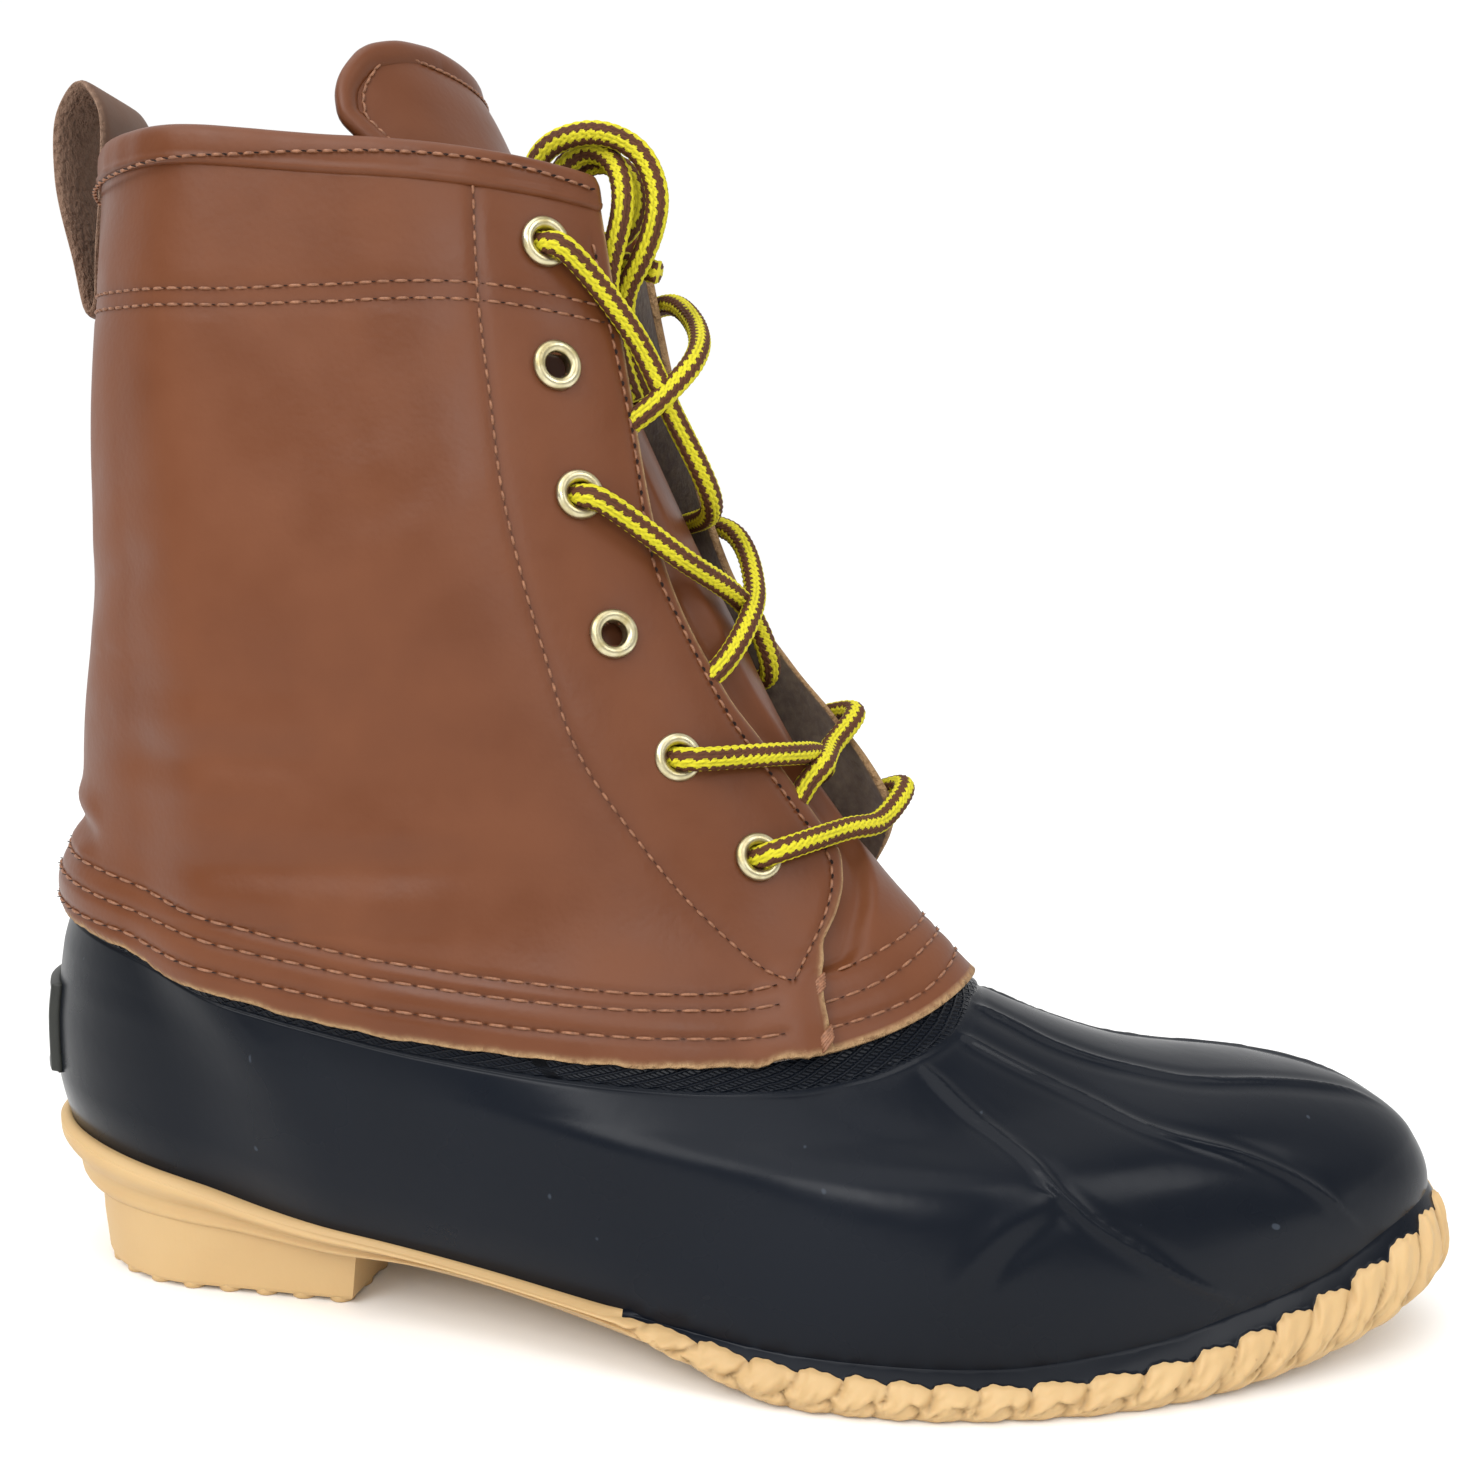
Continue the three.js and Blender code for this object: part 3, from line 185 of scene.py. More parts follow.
def ease(value: Points) -> Points:
    """Smooth step from 0 to 1 of a value held between 0 and 1."""
    held = np.clip(value, 0.0, 1.0)
    return held * held * (3.0 - 2.0 * held)


def bump(distance: Points, width: float) -> Points:
    """Soft bell of a distance: 1 on the line, near 0 at twice the width."""
    return np.exp(-((distance / width) ** 2))


class Monotone:
    """Smooth curve through the rows of a table that never overshoots them."""

    def __init__(self, table: Points) -> None:
        """Keep the rows and work out a slope at each, the harmonic mean of its neighbours'.

        Args:
            table: rows of position followed by the values there.
        """
        self.at = table[:, 0]
        self.values = table[:, 1:]
        secant = np.diff(self.values, axis=0) / np.diff(self.at)[:, None]
        slope = np.empty_like(self.values)
        slope[0], slope[-1] = secant[0], secant[-1]
        before, after = secant[:-1], secant[1:]
        total = np.where(before + after == 0.0, 1.0, before + after)
        slope[1:-1] = np.where(before * after <= 0.0, 0.0, 2.0 * before * after / total)
        self.slope = slope

    def __call__(self, position: Points) -> Points:
        """Values at the positions, on one more axis than theirs.

        Args:
            position: where to read, held to the table's range.

        Returns:
            Values with the table's columns on the last axis.
        """
        held = np.clip(np.asarray(position, float), self.at[0], self.at[-1])
        row = np.clip(np.searchsorted(self.at, held, side="right") - 1, 0, len(self.at) - 2)
        span = (self.at[row + 1] - self.at[row])[..., None]
        t = (held - self.at[row])[..., None] / span
        t2, t3 = t * t, t * t * t
        return ((2 * t3 - 3 * t2 + 1) * self.values[row] + (t3 - 2 * t2 + t) * span * self.slope[row]
                + (3 * t2 - 2 * t3) * self.values[row + 1] + (t3 - t2) * span * self.slope[row + 1])


def wrapped(turn: Points) -> Points:
    """Turn brought back between -1 and 1."""
    return (turn + 1.0) % 2.0 - 1.0


def along_ring(turn: Points) -> Points:
    """Share of the way along a ring, from its back (0) to its front (1)."""
    return (1.0 + np.cos(np.pi * turn)) / 2.0


class BootForm:
    """The boot's skin by level (0 sole, 1 rubber's edge, 3 collar) and turn (0 front, 1 back)."""

    def __init__(self) -> None:
        """Prepare the curves through the tables."""
        rubber = RUBBER_RINGS.copy()
        rubber[:, [2, 4]] *= RUBBER_HEIGHT
        shaft = SHAFT_RINGS.copy()
        shaft[:, [2, 4]] = RUBBER_HEIGHT + shaft[:, [2, 4]] * SHAFT_RISE
        self.rings = Monotone(np.vstack([rubber, shaft]))
        self.sag = Monotone(SAG)
        self.bend = Monotone(BEND)
        self.edge = Monotone(QUARTER_EDGE)

    def plan(self, shape: list[Points], turn: Points, bend: Points) -> tuple[Points, Points]:
        """Outline seen from above: a rounded heel, straight flanks and a rounded toe on a bent line.

        Args:
            shape: back, front, heel, waist, fore, nose, toe start and heel round.
            turn: where on the ring.
            bend: share of the sole's sideways bend that this ring follows.

        Returns:
            x from the sole's back and y across, in millimetres.
        """
        back, front, heel, waist, fore, nose, toe_start, heel_round = shape
        along = along_ring(turn)
        x = (back + (front - back) * along) * SOLE_LENGTH
        width = (heel + (waist - heel) * ease((along - 0.15) / 0.12)
                 + (fore - waist) * ease((along - 0.27) / (toe_start - 0.27)))
        heel_end = np.sqrt(np.clip(1.0 - np.clip(1.0 - along / heel_round, 0, 1) ** 2, 0, 1))
        toe_share = np.clip((along - toe_start) / (1.0 - toe_start), 0, 1)
        toe_end = np.clip(1.0 - toe_share ** nose, 0, 1) ** (1.0 / nose)
        centre = self.bend(x / SOLE_LENGTH)[..., 0] * SOLE_HALF_WIDTH * bend
        sign = np.sign(np.sin(np.pi * turn))
        return x, centre + sign * width * heel_end * toe_end * SOLE_HALF_WIDTH

    def outline(self, shape: Outline, turn: Points, height: Points) -> Points:
        """Points of one of the sole's outlines at given heights."""
        values = [np.full(np.shape(turn), value) for value in (
            shape.back, shape.front, shape.heel, shape.waist, shape.fore,
            shape.nose, shape.toe_start, shape.heel_round)]
        x, y = self.plan(values, turn, np.ones(np.shape(turn)))
        return np.stack([x - HEEL_CENTRE, y, height * np.ones(np.shape(turn))], -1)

    def point(self, level: Points, turn: Points) -> Points:
        """Points of the skin: the ring's outline, sagging between its back and its front."""
        level, turn = np.broadcast_arrays(np.asarray(level, float), np.asarray(turn, float))
        back, back_z, front, front_z, heel, waist, fore, sag, nose, toe_start, heel_round = np.moveaxis(
            self.rings(np.clip(level, 0, 3)), -1, 0)
        bend = 1.0 - ease((level - 0.9) / 0.9)
        x, y = self.plan([back, front, heel, waist, fore, nose, toe_start, heel_round], turn, bend)
        along = along_ring(turn)
        bed, rim, top = np.moveaxis(self.sag(along), -1, 0)
        low = bed + (rim - bed) * np.clip(level / 0.15, 0, 1)
        dip = low + (top - low) * ease((level - 0.15) / 0.85)
        z = back_z + (front_z - back_z) * along - sag * RUBBER_HEIGHT * dip
        return np.stack([x - HEEL_CENTRE, y, z], -1)

    def normal(self, level: Points, turn: Points) -> Points:
        """Outward unit normals of the skin, from differences along and up it."""
        level, turn = np.broadcast_arrays(np.asarray(level, float), np.asarray(turn, float))
        up = self.point(np.minimum(3, level + 0.01), turn) - self.point(np.maximum(0, level - 0.01), turn)
        around = self.point(level, wrapped(turn + 0.012)) - self.point(level, wrapped(turn - 0.012))
        return unit(np.cross(around, up))

    def skin(self, level: Points, turn: Points, out: Points = 0.0) -> Points:
        """Points moved outwards from the skin by a distance."""
        return self.point(level, turn) + self.normal(level, turn) * np.asarray(out)[..., None]

    def quarter(self, level: Points, turn: Points, out: Points = 0.0) -> Points:
        """Points of the leather quarters, whose inner flap stands off the tongue.

        Args:
            level: height on the form.
            turn: where on the ring.
            out: distance outwards from the skin.

        Returns:
            Points in millimetres.
        """
        level, turn = np.broadcast_arrays(np.asarray(level, float), np.asarray(turn, float))
        _, inner, lift = np.moveaxis(self.edge(level), -1, 0)
        share = np.clip((FLAP_ROOT_TURN - turn) / (FLAP_ROOT_TURN - inner), 0, 1) * (turn > 0)
        distance = out + lift * FLAP_LIFT * share ** 1.6
        return self.point(level, turn) + self.normal(level, turn) * np.asarray(distance)[..., None]

    def facing(self, level: Points, turn: Points) -> Points:
        """Turn of the quarters' front edge on the side that each turn lies on."""
        edges = self.edge(level)
        return np.where(turn < 0, edges[..., 0], edges[..., 1])

    def quarter_normal(self, level: Points, turn: Points) -> Points:
        """Outward unit normals of the quarters."""
        up = self.quarter(np.asarray(level) + 0.01, turn) - self.quarter(np.asarray(level) - 0.01, turn)
        around = self.quarter(level, np.asarray(turn) + 0.01) - self.quarter(level, np.asarray(turn) - 0.01)
        return unit(np.cross(around, up))


def unit(vectors: Points) -> Points:
    """Vectors brought to length 1."""
    return vectors / (np.linalg.norm(vectors, axis=-1, keepdims=True) + 1e-12)


FORM = BootForm()


def smooth_path(points: Points, count: int) -> Points:
    """Even points along a centripetal spline through the given ones.

    Args:
        points: the points to pass through.
        count: how many points to return.

    Returns:
        Points spaced evenly by length.
    """
    points = np.asarray(points, float)
    ends = np.vstack([2 * points[0] - points[1], points, 2 * points[-1] - points[-2]])
    knots = np.concatenate([[0.0], np.cumsum(np.linalg.norm(np.diff(ends, axis=0), axis=1) ** 0.5 + 1e-9)])
    t = np.linspace(knots[1], knots[-2], 1 + 60 * (len(points) - 1))
    row = np.clip(np.searchsorted(knots, t, side="right") - 1, 1, len(points) - 1)
    mix = lambda a, b, ta, tb: ((tb - t) / (tb - ta))[:, None] * a + ((t - ta) / (tb - ta))[:, None] * b
    k0, k1, k2, k3 = knots[row - 1], knots[row], knots[row + 1], knots[row + 2]
    p0, p1, p2, p3 = ends[row - 1], ends[row], ends[row + 1], ends[row + 2]
    a1, a2, a3 = mix(p0, p1, k0, k1), mix(p1, p2, k1, k2), mix(p2, p3, k2, k3)
    fine = mix(mix(a1, a2, k0, k2), mix(a2, a3, k1, k3), k1, k2)
    length = running_length(fine)
    even = np.linspace(0.0, length[-1], count)
    return np.stack([np.interp(even, length, column) for column in fine.T], -1)


def relaxed(points: Points, times: int) -> Points:
    """A line smoothed by averaging neighbours, with its ends held."""
    line = np.array(points)
    for _ in range(times):
        line[1:-1] = 0.25 * line[:-2] + 0.5 * line[1:-1] + 0.25 * line[2:]
    return line


def path_length(points: Points) -> float:
    """Length of a line of points."""
    return float(np.linalg.norm(np.diff(points, axis=0), axis=1).sum())


def running_length(points: Points) -> Points:
    """Length along a line up to each of its points."""
    return np.concatenate([[0.0], np.cumsum(np.linalg.norm(np.diff(points, axis=0), axis=1))])


def distance_to_path(points: Points, path: Points) -> tuple[Points, Points]:
    """Distance from each point to the nearest point of a line.

    Args:
        points: array of points of any grid shape.
        path: closely spaced points of the line.

    Returns:
        The distances, and the index of the nearest point of the line.
    """
    flat = points.reshape(-1, 3)
    best = np.full(len(flat), 1e9)
    index = np.zeros(len(flat), int)
    low, high = path.min(0) - 12.0, path.max(0) + 12.0
    near = np.flatnonzero(((flat > low) & (flat < high)).all(1))
    for start in range(0, len(near), 20000):
        rows = near[start:start + 20000]
        square = ((flat[rows, None] - path[None]) ** 2).sum(-1)
        index[rows] = square.argmin(1)
        best[rows] = np.sqrt(square.min(1))
    return best.reshape(points.shape[:-1]), index.reshape(points.shape[:-1])


# Meshes

def store_mesh(name: str, points: Points, faces: Points, smooth: bool = True) -> bpy.types.Object:
    """Object at the origin from points in millimetres and an array of quads or triangles.

    Args:
        name: the piece's name.
        points: one row for each vertex.
        faces: one row for each face, with a constant number of corners.
        smooth: whether the faces are shaded smooth.

    Returns:
        The linked object.
    """
    mesh = bpy.data.meshes.new(name)
    mesh.vertices.add(len(points))
    mesh.vertices.foreach_set("co", (np.asarray(points, float) * MM).astype(np.float32).ravel())
    corners = faces.shape[1]
    mesh.loops.add(faces.size)
    mesh.loops.foreach_set("vertex_index", faces.astype(np.int32).ravel())
    mesh.polygons.add(len(faces))
    mesh.polygons.foreach_set("loop_start", np.arange(0, faces.size, corners, dtype=np.int32))
    mesh.polygons.foreach_set("use_smooth", np.full(len(faces), smooth))
    mesh.update(calc_edges=True)
    mesh.validate()
    piece = bpy.data.objects.new(name, mesh)
    bpy.context.scene.collection.objects.link(piece)
    return piece


def set_value(piece: bpy.types.Object, name: str, values: Points) -> None:
    """Store one number for each vertex as a named attribute."""
    attribute = piece.data.attributes.new(name, "FLOAT", "POINT")
    attribute.data.foreach_set("value", np.asarray(values, np.float32).ravel())


def set_uv(piece: bpy.types.Object, uv: Points) -> None:
    """Store a UV map from one pair for each vertex, in millimetres along the surface."""
    layer = piece.data.uv_layers.new(name="surface")
    vertex = np.empty(len(piece.data.loops), np.int32)
    piece.data.loops.foreach_get("vertex_index", vertex)
    layer.data.foreach_set("uv", np.asarray(uv, np.float32).reshape(-1, 2)[vertex].ravel())


def grid_faces(rows: int, columns: int, closed: bool, start: int = 0, flip: bool = False) -> Points:
    """Quads of a grid of points stored row by row.

    Args:
        rows: number of rows.
        columns: number of columns.
        closed: whether the last column joins the first.
        start: index of the grid's first point.
        flip: whether the faces point the other way.

    Returns:
        Array of quads, counter-clockwise seen from outside where rows go up and columns go round to the left.
    """
    j, i = np.meshgrid(np.arange(rows - 1), np.arange(columns if closed else columns - 1), indexing="ij")
    after = (i + 1) % columns
    here, above = j * columns, (j + 1) * columns
    quads = np.stack([here + i, here + after, above + after, above + i], -1).reshape(-1, 4) + start
    return quads[:, ::-1] if flip else quads


def wall_faces(rows: int, columns: int, closed: bool) -> Points:
    """Quads of a wall whose outer grid is stored first and its inner grid after it."""
    count = rows * columns
    outer = grid_faces(rows, columns, closed)
    inner = grid_faces(rows, columns, closed, count, True)
    i = np.arange(columns if closed else columns - 1)
    after = (i + 1) % columns
    top = (rows - 1) * columns
    low = np.stack([count + i, count + after, after, i], -1)
    high = np.stack([top + i, top + after, count + top + after, count + top + i], -1)
    parts = [outer, inner, low, high]
    if not closed:
        j = np.arange(rows - 1) * columns
        end = j + columns - 1
        parts.append(np.stack([count + j, j, j + columns, count + j + columns], -1))
        parts.append(np.stack([end, count + end, count + end + columns, end + columns], -1))
    return np.vstack(parts)


def wall_piece(name: str, outer: Points, inner: Points, closed: bool = False) -> bpy.types.Object:
    """Closed wall between two grids of points, rows going up and columns going round."""
    rows, columns = outer.shape[:2]
    points = np.vstack([outer.reshape(-1, 3), inner.reshape(-1, 3)])
    return store_mesh(name, points, wall_faces(rows, columns, closed))


def tube_frames(path: Points) -> tuple[Points, Points]:
    """Two crosswise directions along a path, with as little twist as there can be."""
    tangent = unit(np.gradient(path, axis=0))
    first = np.empty_like(path)
    start = np.array([0.0, 1.0, 0.2]) if abs(tangent[0, 1]) < 0.8 else np.array([1.0, 0.0, 0.2])
    side = start - tangent[0] * (start @ tangent[0])
    for index, direction in enumerate(tangent):
        side = side - direction * (side @ direction)
        side = side / np.linalg.norm(side)
        first[index] = side
    return first, np.cross(tangent, first)


def triangles(quads: Points) -> Points:
    """Each quad cut into two triangles."""
    return np.vstack([quads[:, [0, 1, 2]], quads[:, [0, 2, 3]]])


def tube_piece(name: str, rings: Points, centres: Points | None = None,
               smooth: bool = True) -> bpy.types.Object:
    """Closed tube from rings of points, capped at both ends.

    Args:
        name: the piece's name.
        rings: points by ring and place round it.
        centres: the caps' middle points, or none for the middles of the end rings.
        smooth: whether the faces are shaded smooth.

    Returns:
        The object, made of triangles.
    """
    count, around = rings.shape[:2]
    middles = rings[[0, -1]].mean(1) if centres is None else centres
    points = np.vstack([rings.reshape(-1, 3), middles])
    quads = grid_faces(count, around, True)[:, ::-1]
    i = np.arange(around)
    after = (i + 1) % around
    low, high = len(points) - 2, len(points) - 1
    last = (count - 1) * around
    caps = [np.stack([np.full(around, low), i, after], -1),
            np.stack([np.full(around, high), last + after, last + i], -1)]
    return store_mesh(name, points, np.vstack([triangles(quads), *caps]), smooth)


def joined_copies(name: str, shape: Points, faces: Points, origins: Points,
                  frames: Points) -> bpy.types.Object:
    """One mesh of many copies of a small shape.

    Args:
        name: the piece's name.
        shape: the small shape's points.
        faces: its faces.
        origins: where each copy stands.
        frames: for each copy, its three axes as rows, scaled as wanted.

    Returns:
        The joined object.
    """
    points = origins[:, None, :] + np.einsum("pk,nkc->npc", shape, frames)
    steps = (np.arange(len(origins)) * len(shape))[:, None, None]
    return store_mesh(name, points.reshape(-1, 3), (faces[None] + steps).reshape(-1, faces.shape[1]))


# Materials

def linear(code: str) -> tuple[float, float, float, float]:
    """Linear colour of an sRGB hex code such as #8a553b."""
    values = np.array([int(code[i:i + 2], 16) for i in (1, 3, 5)]) / 255.0
    low, high = values / 12.92, ((values + 0.055) / 1.055) ** 2.4
    return (*np.where(values <= 0.04045, low, high).tolist(), 1.0)


def add_node(tree: bpy.types.NodeTree, kind: str, settings: dict | None = None,
             links: dict | None = None) -> bpy.types.Node:
    """Add one node to a tree.

    Args:
        tree: the material's node tree.
        kind: the node's type name.
        settings: values of properties, or of inputs by their name or number.
        links: output sockets to join to inputs, by their name or number.

    Returns:
        The new node.
    """
    node = tree.nodes.new(kind)
    for key, value in (settings or {}).items():
        if isinstance(key, str) and hasattr(node, key):
            setattr(node, key, value)
        else:
            node.inputs[key].default_value = value
    for key, socket in (links or {}).items():
        tree.links.new(socket, node.inputs[key])
    return node


@dataclass(frozen=True)
class Finish:
    """A material and the values that its kind gives it."""

    name: str
    colour: str
    roughness: float
    metallic: float = 0.0
    ior: float = 1.5

    def start(self) -> tuple[bpy.types.Material, bpy.types.NodeTree, bpy.types.Node]:
        """Make the material with its shader and its plain values.

        Returns:
            The material, its node tree and its shader.
        """
        material = bpy.data.materials.new(self.name)
        material.use_nodes = True
        tree = material.node_tree
        tree.nodes.clear()
        shader = add_node(tree, "ShaderNodeBsdfPrincipled", {
            "Base Color": linear(self.colour), "Roughness": self.roughness,
            "Metallic": self.metallic, "IOR": self.ior})
        add_node(tree, "ShaderNodeOutputMaterial", None, {"Surface": shader.outputs["BSDF"]})
        return material, tree, shader


def object_noise(tree: bpy.types.NodeTree, size: float, detail: float = 3.0,
                 stretch: tuple[float, float, float] = (1, 1, 1)) -> bpy.types.NodeSocket:
    """Noise whose blotches are about a given number of millimetres across, on Object coordinates."""
    place = add_node(tree, "ShaderNodeTexCoord")
    mapping = add_node(tree, "ShaderNodeMapping", {"Scale": stretch}, {"Vector": place.outputs["Object"]})
    noise = add_node(tree, "ShaderNodeTexNoise", {"Scale": 1000.0 / size / 2.0, "Detail": detail},
                     {"Vector": mapping.outputs["Vector"]})
    return noise.outputs["Fac"]


def worked_out(tree: bpy.types.NodeTree, operation: str, *values: object,
               clamp: bool = False) -> bpy.types.NodeSocket:
    """Result of one Math node over sockets or plain numbers."""
    node = add_node(tree, "ShaderNodeMath", {"operation": operation, "use_clamp": clamp})
    for index, value in enumerate(values):
        if isinstance(value, bpy.types.NodeSocket):
            tree.links.new(value, node.inputs[index])
        else:
            node.inputs[index].default_value = value
    return node.outputs[0]


def marked(tree: bpy.types.NodeTree, name: str) -> bpy.types.NodeSocket:
    """Value of one of the piece's own attributes."""
    return add_node(tree, "ShaderNodeAttribute", {"attribute_name": name}).outputs["Fac"]


def ramp(tree: bpy.types.NodeTree, value: bpy.types.NodeSocket, low: float,
         high: float) -> bpy.types.NodeSocket:
    """A value brought from low..high to 0..1 and held there."""
    node = add_node(tree, "ShaderNodeMapRange", {"From Min": low, "From Max": high}, {"Value": value})
    return node.outputs["Result"]


def mixed_colour(tree: bpy.types.NodeTree, share: bpy.types.NodeSocket, first: object,
                 second: str) -> bpy.types.NodeSocket:
    """Two colours mixed by a share; the first may be a socket or a hex code."""
    node = add_node(tree, "ShaderNodeMix", {"data_type": "RGBA"}, {0: share})
    if isinstance(first, str):
        node.inputs[6].default_value = linear(first)
    else:
        tree.links.new(first, node.inputs[6])
    node.inputs[7].default_value = linear(second)
    return node.outputs[2]


def add_bump(tree: bpy.types.NodeTree, shader: bpy.types.Node, height: bpy.types.NodeSocket, depth: float,
             below: bpy.types.Node | None = None) -> bpy.types.Node:
    """Bump of a depth in millimetres from a height of 0 to 1, over another bump if one is given."""
    links = {"Height": height}
    if below is not None:
        links["Normal"] = below.outputs["Normal"]
    node = add_node(tree, "ShaderNodeBump", {"Strength": 1.0, "Distance": depth * MM}, links)
    tree.links.new(node.outputs["Normal"], shader.inputs["Normal"])
    return node


@dataclass(frozen=True)
class LeatherFinish(Finish):
    """Full-grain cowhide with a smooth waxed face: soft broad highlights over very fine pores."""

    deep: str = "#542d18"
    worn: str = "#86502f"
    raw: str = "#a3835e"
    # painted shade: dark colour laid on where the piece's shade attribute marks grooves and shaded backs and
    # insides
    painted_shade_tone: str = "#3d2118"
    pore: float = 1.1

    def build(self) -> bpy.types.Material:
        """Brown face with slow tone changes, pores by bump, pale raw edges where the piece marks them, and
        painted shade where the piece marks grooves and shaded sides.
        """
        material, tree, shader = self.start()
        slow = ramp(tree, object_noise(tree, 60.0, 2.0), 0.3, 0.72)
        blotch = ramp(tree, object_noise(tree, 9.0, 4.0), 0.35, 0.7)
        colour = mixed_colour(tree, worked_out(tree, "MULTIPLY", slow, 0.55), self.colour, self.deep)
        colour = mixed_colour(tree, worked_out(tree, "MULTIPLY", blotch, 0.16), colour, self.worn)
        edge = marked(tree, "raw_edge")
        fibre = ramp(tree, object_noise(tree, 0.8, 3.0), 0.25, 0.75)
        rough = worked_out(tree, "MULTIPLY", edge, fibre)
        bare = worked_out(tree, "ADD", worked_out(tree, "MULTIPLY", edge, 0.55), rough, clamp=True)
        colour = mixed_colour(tree, bare, colour, self.raw)
        # painted shade: darkens the colour where the piece's shade attribute says shade falls
        colour = mixed_colour(tree, marked(tree, "painted_shade"), colour, self.painted_shade_tone)
        tree.links.new(colour, shader.inputs["Base Color"])
        gloss = worked_out(tree, "MULTIPLY_ADD", blotch, 0.16, self.roughness - 0.06)
        dull = worked_out(tree, "MULTIPLY_ADD", edge, 0.4, gloss, clamp=True)
        tree.links.new(dull, shader.inputs["Roughness"])
        place = add_node(tree, "ShaderNodeTexCoord")
        cells = add_node(tree, "ShaderNodeTexVoronoi", {"Scale": 1000.0 / self.pore, "feature": "SMOOTH_F1"},
                         {"Vector": place.outputs["Object"]})
        below = add_bump(tree, shader, cells.outputs["Distance"], 0.028)
        below = add_bump(tree, shader, object_noise(tree, 5.0, 4.0), 0.16, below)
        add_bump(tree, shader, rough, 0.9, below)
        return material


@dataclass(frozen=True)
class SuedeFinish(Finish):
    """Flesh side of the leather: napped, matt and greyer than the face."""

    pale: str = "#72604f"

    def build(self) -> bpy.types.Material:
        """Nap by fine noise in colour and bump, with the soft rim light of loose fibres."""
        material, tree, shader = self.start()
        nap = ramp(tree, object_noise(tree, 1.0, 5.0), 0.3, 0.7)
        tree.links.new(mixed_colour(tree, nap, self.colour, self.pale), shader.inputs["Base Color"])
        shader.inputs["Sheen Weight"].default_value = 0.4
        shader.inputs["Sheen Roughness"].default_value = 0.5
        add_bump(tree, shader, object_noise(tree, 0.7, 5.0), 0.25)
        return material


@dataclass(frozen=True)
class MouldedRubberFinish(Finish):
    """Compression-moulded rubber: satin navy black with a faint bloom and a few pale specks."""

    bloom: str = "#151a23"
    speck: str = "#30363f"

    def build(self) -> bpy.types.Material:
        """Slow bloom over the dark colour, and a knurled diamond band where the piece marks it."""
        material, tree, shader = self.start()
        bloom = ramp(tree, object_noise(tree, 45.0, 3.0), 0.35, 0.75)
        colour = mixed_colour(tree, worked_out(tree, "MULTIPLY", bloom, 0.5), self.colour, self.bloom)
        speck = ramp(tree, object_noise(tree, 1.6, 0.0), 0.865, 0.89)
        colour = mixed_colour(tree, speck, colour, self.speck)
        tree.links.new(colour, shader.inputs["Base Color"])
        haze = ramp(tree, object_noise(tree, 14.0, 4.0), 0.3, 0.7)
        gloss = worked_out(tree, "MULTIPLY_ADD", haze, 0.14, self.roughness)
        tree.links.new(gloss, shader.inputs["Roughness"])
        below = add_bump(tree, shader, object_noise(tree, 2.2, 4.0), 0.05)
        surface = add_node(tree, "ShaderNodeUVMap", {"uv_map": "surface"})
        waves = []
        for turn in (0.62, -0.62):
            mapping = add_node(tree, "ShaderNodeMapping", {"Rotation": (0, 0, turn)},
                               {"Vector": surface.outputs["UV"]})
            wave = add_node(tree, "ShaderNodeTexWave", {"Scale": 0.21, "bands_direction": "Y"},
                            {"Vector": mapping.outputs["Vector"]})
            waves.append(wave.outputs["Fac"])
        knurl = ramp(tree, worked_out(tree, "MAXIMUM", *waves), 0.55, 1.0)
        add_bump(tree, shader, worked_out(tree, "MULTIPLY", knurl, marked(tree, "band")), 0.45, below)
        return material


@dataclass(frozen=True)
class GumRubberFinish(Finish):
    """Natural crepe rubber: warm tan, matt, a little see-through, with painted shade in its creases and a few
    darker dots.
    """

    deep: str = "#b48f5e"
    # darker tan used for the painted shade in the creases and for the small dots
    dots_and_crease_shade: str = "#87683d"

    def build(self) -> bpy.types.Material:
        """Cloudy tan, darkened by painted shade in the creases where the piece marks them, with a few darker
        dots.
        """
        material, tree, shader = self.start()
        cloud = ramp(tree, object_noise(tree, 16.0, 4.0), 0.35, 0.75)
        colour = mixed_colour(tree, worked_out(tree, "MULTIPLY", cloud, 0.4), self.colour, self.deep)
        # painted shade: the crease attribute darkens the gum in the hollows between the lumps
        colour = mixed_colour(tree, marked(tree, "crease"), colour, self.dots_and_crease_shade)
        dot = ramp(tree, object_noise(tree, 2.4, 1.0), 0.80, 0.84)
        colour = mixed_colour(tree, dot, colour, self.dots_and_crease_shade)
        tree.links.new(colour, shader.inputs["Base Color"])
        shader.inputs["Subsurface Weight"].default_value = 0.12
        shader.inputs["Subsurface Radius"].default_value = (0.004, 0.0022, 0.0012)
        shader.inputs["Subsurface Scale"].default_value = 0.5
        below = add_bump(tree, shader, object_noise(tree, 3.5, 4.0), 0.14)
        add_bump(tree, shader, object_noise(tree, 0.6, 3.0), 0.03, below)
        return material


@dataclass(frozen=True)
class BrassFinish(Finish):
    """Plated brass, stamped and tumbled: pale warm metal with faint scratches and duller hollows."""

    tarnish: str = "#a89a6c"

    def build(self) -> bpy.types.Material:
        """Metal with uneven gloss."""
        material, tree, shader = self.start()
        wear = ramp(tree, object_noise(tree, 1.5, 4.0), 0.3, 0.7)
        tree.links.new(mixed_colour(tree, wear, self.colour, self.tarnish), shader.inputs["Base Color"])
        gloss = worked_out(tree, "MULTIPLY_ADD", wear, 0.18, self.roughness)
        tree.links.new(gloss, shader.inputs["Roughness"])
        add_bump(tree, shader, object_noise(tree, 0.8, 3.0), 0.02)
        return material


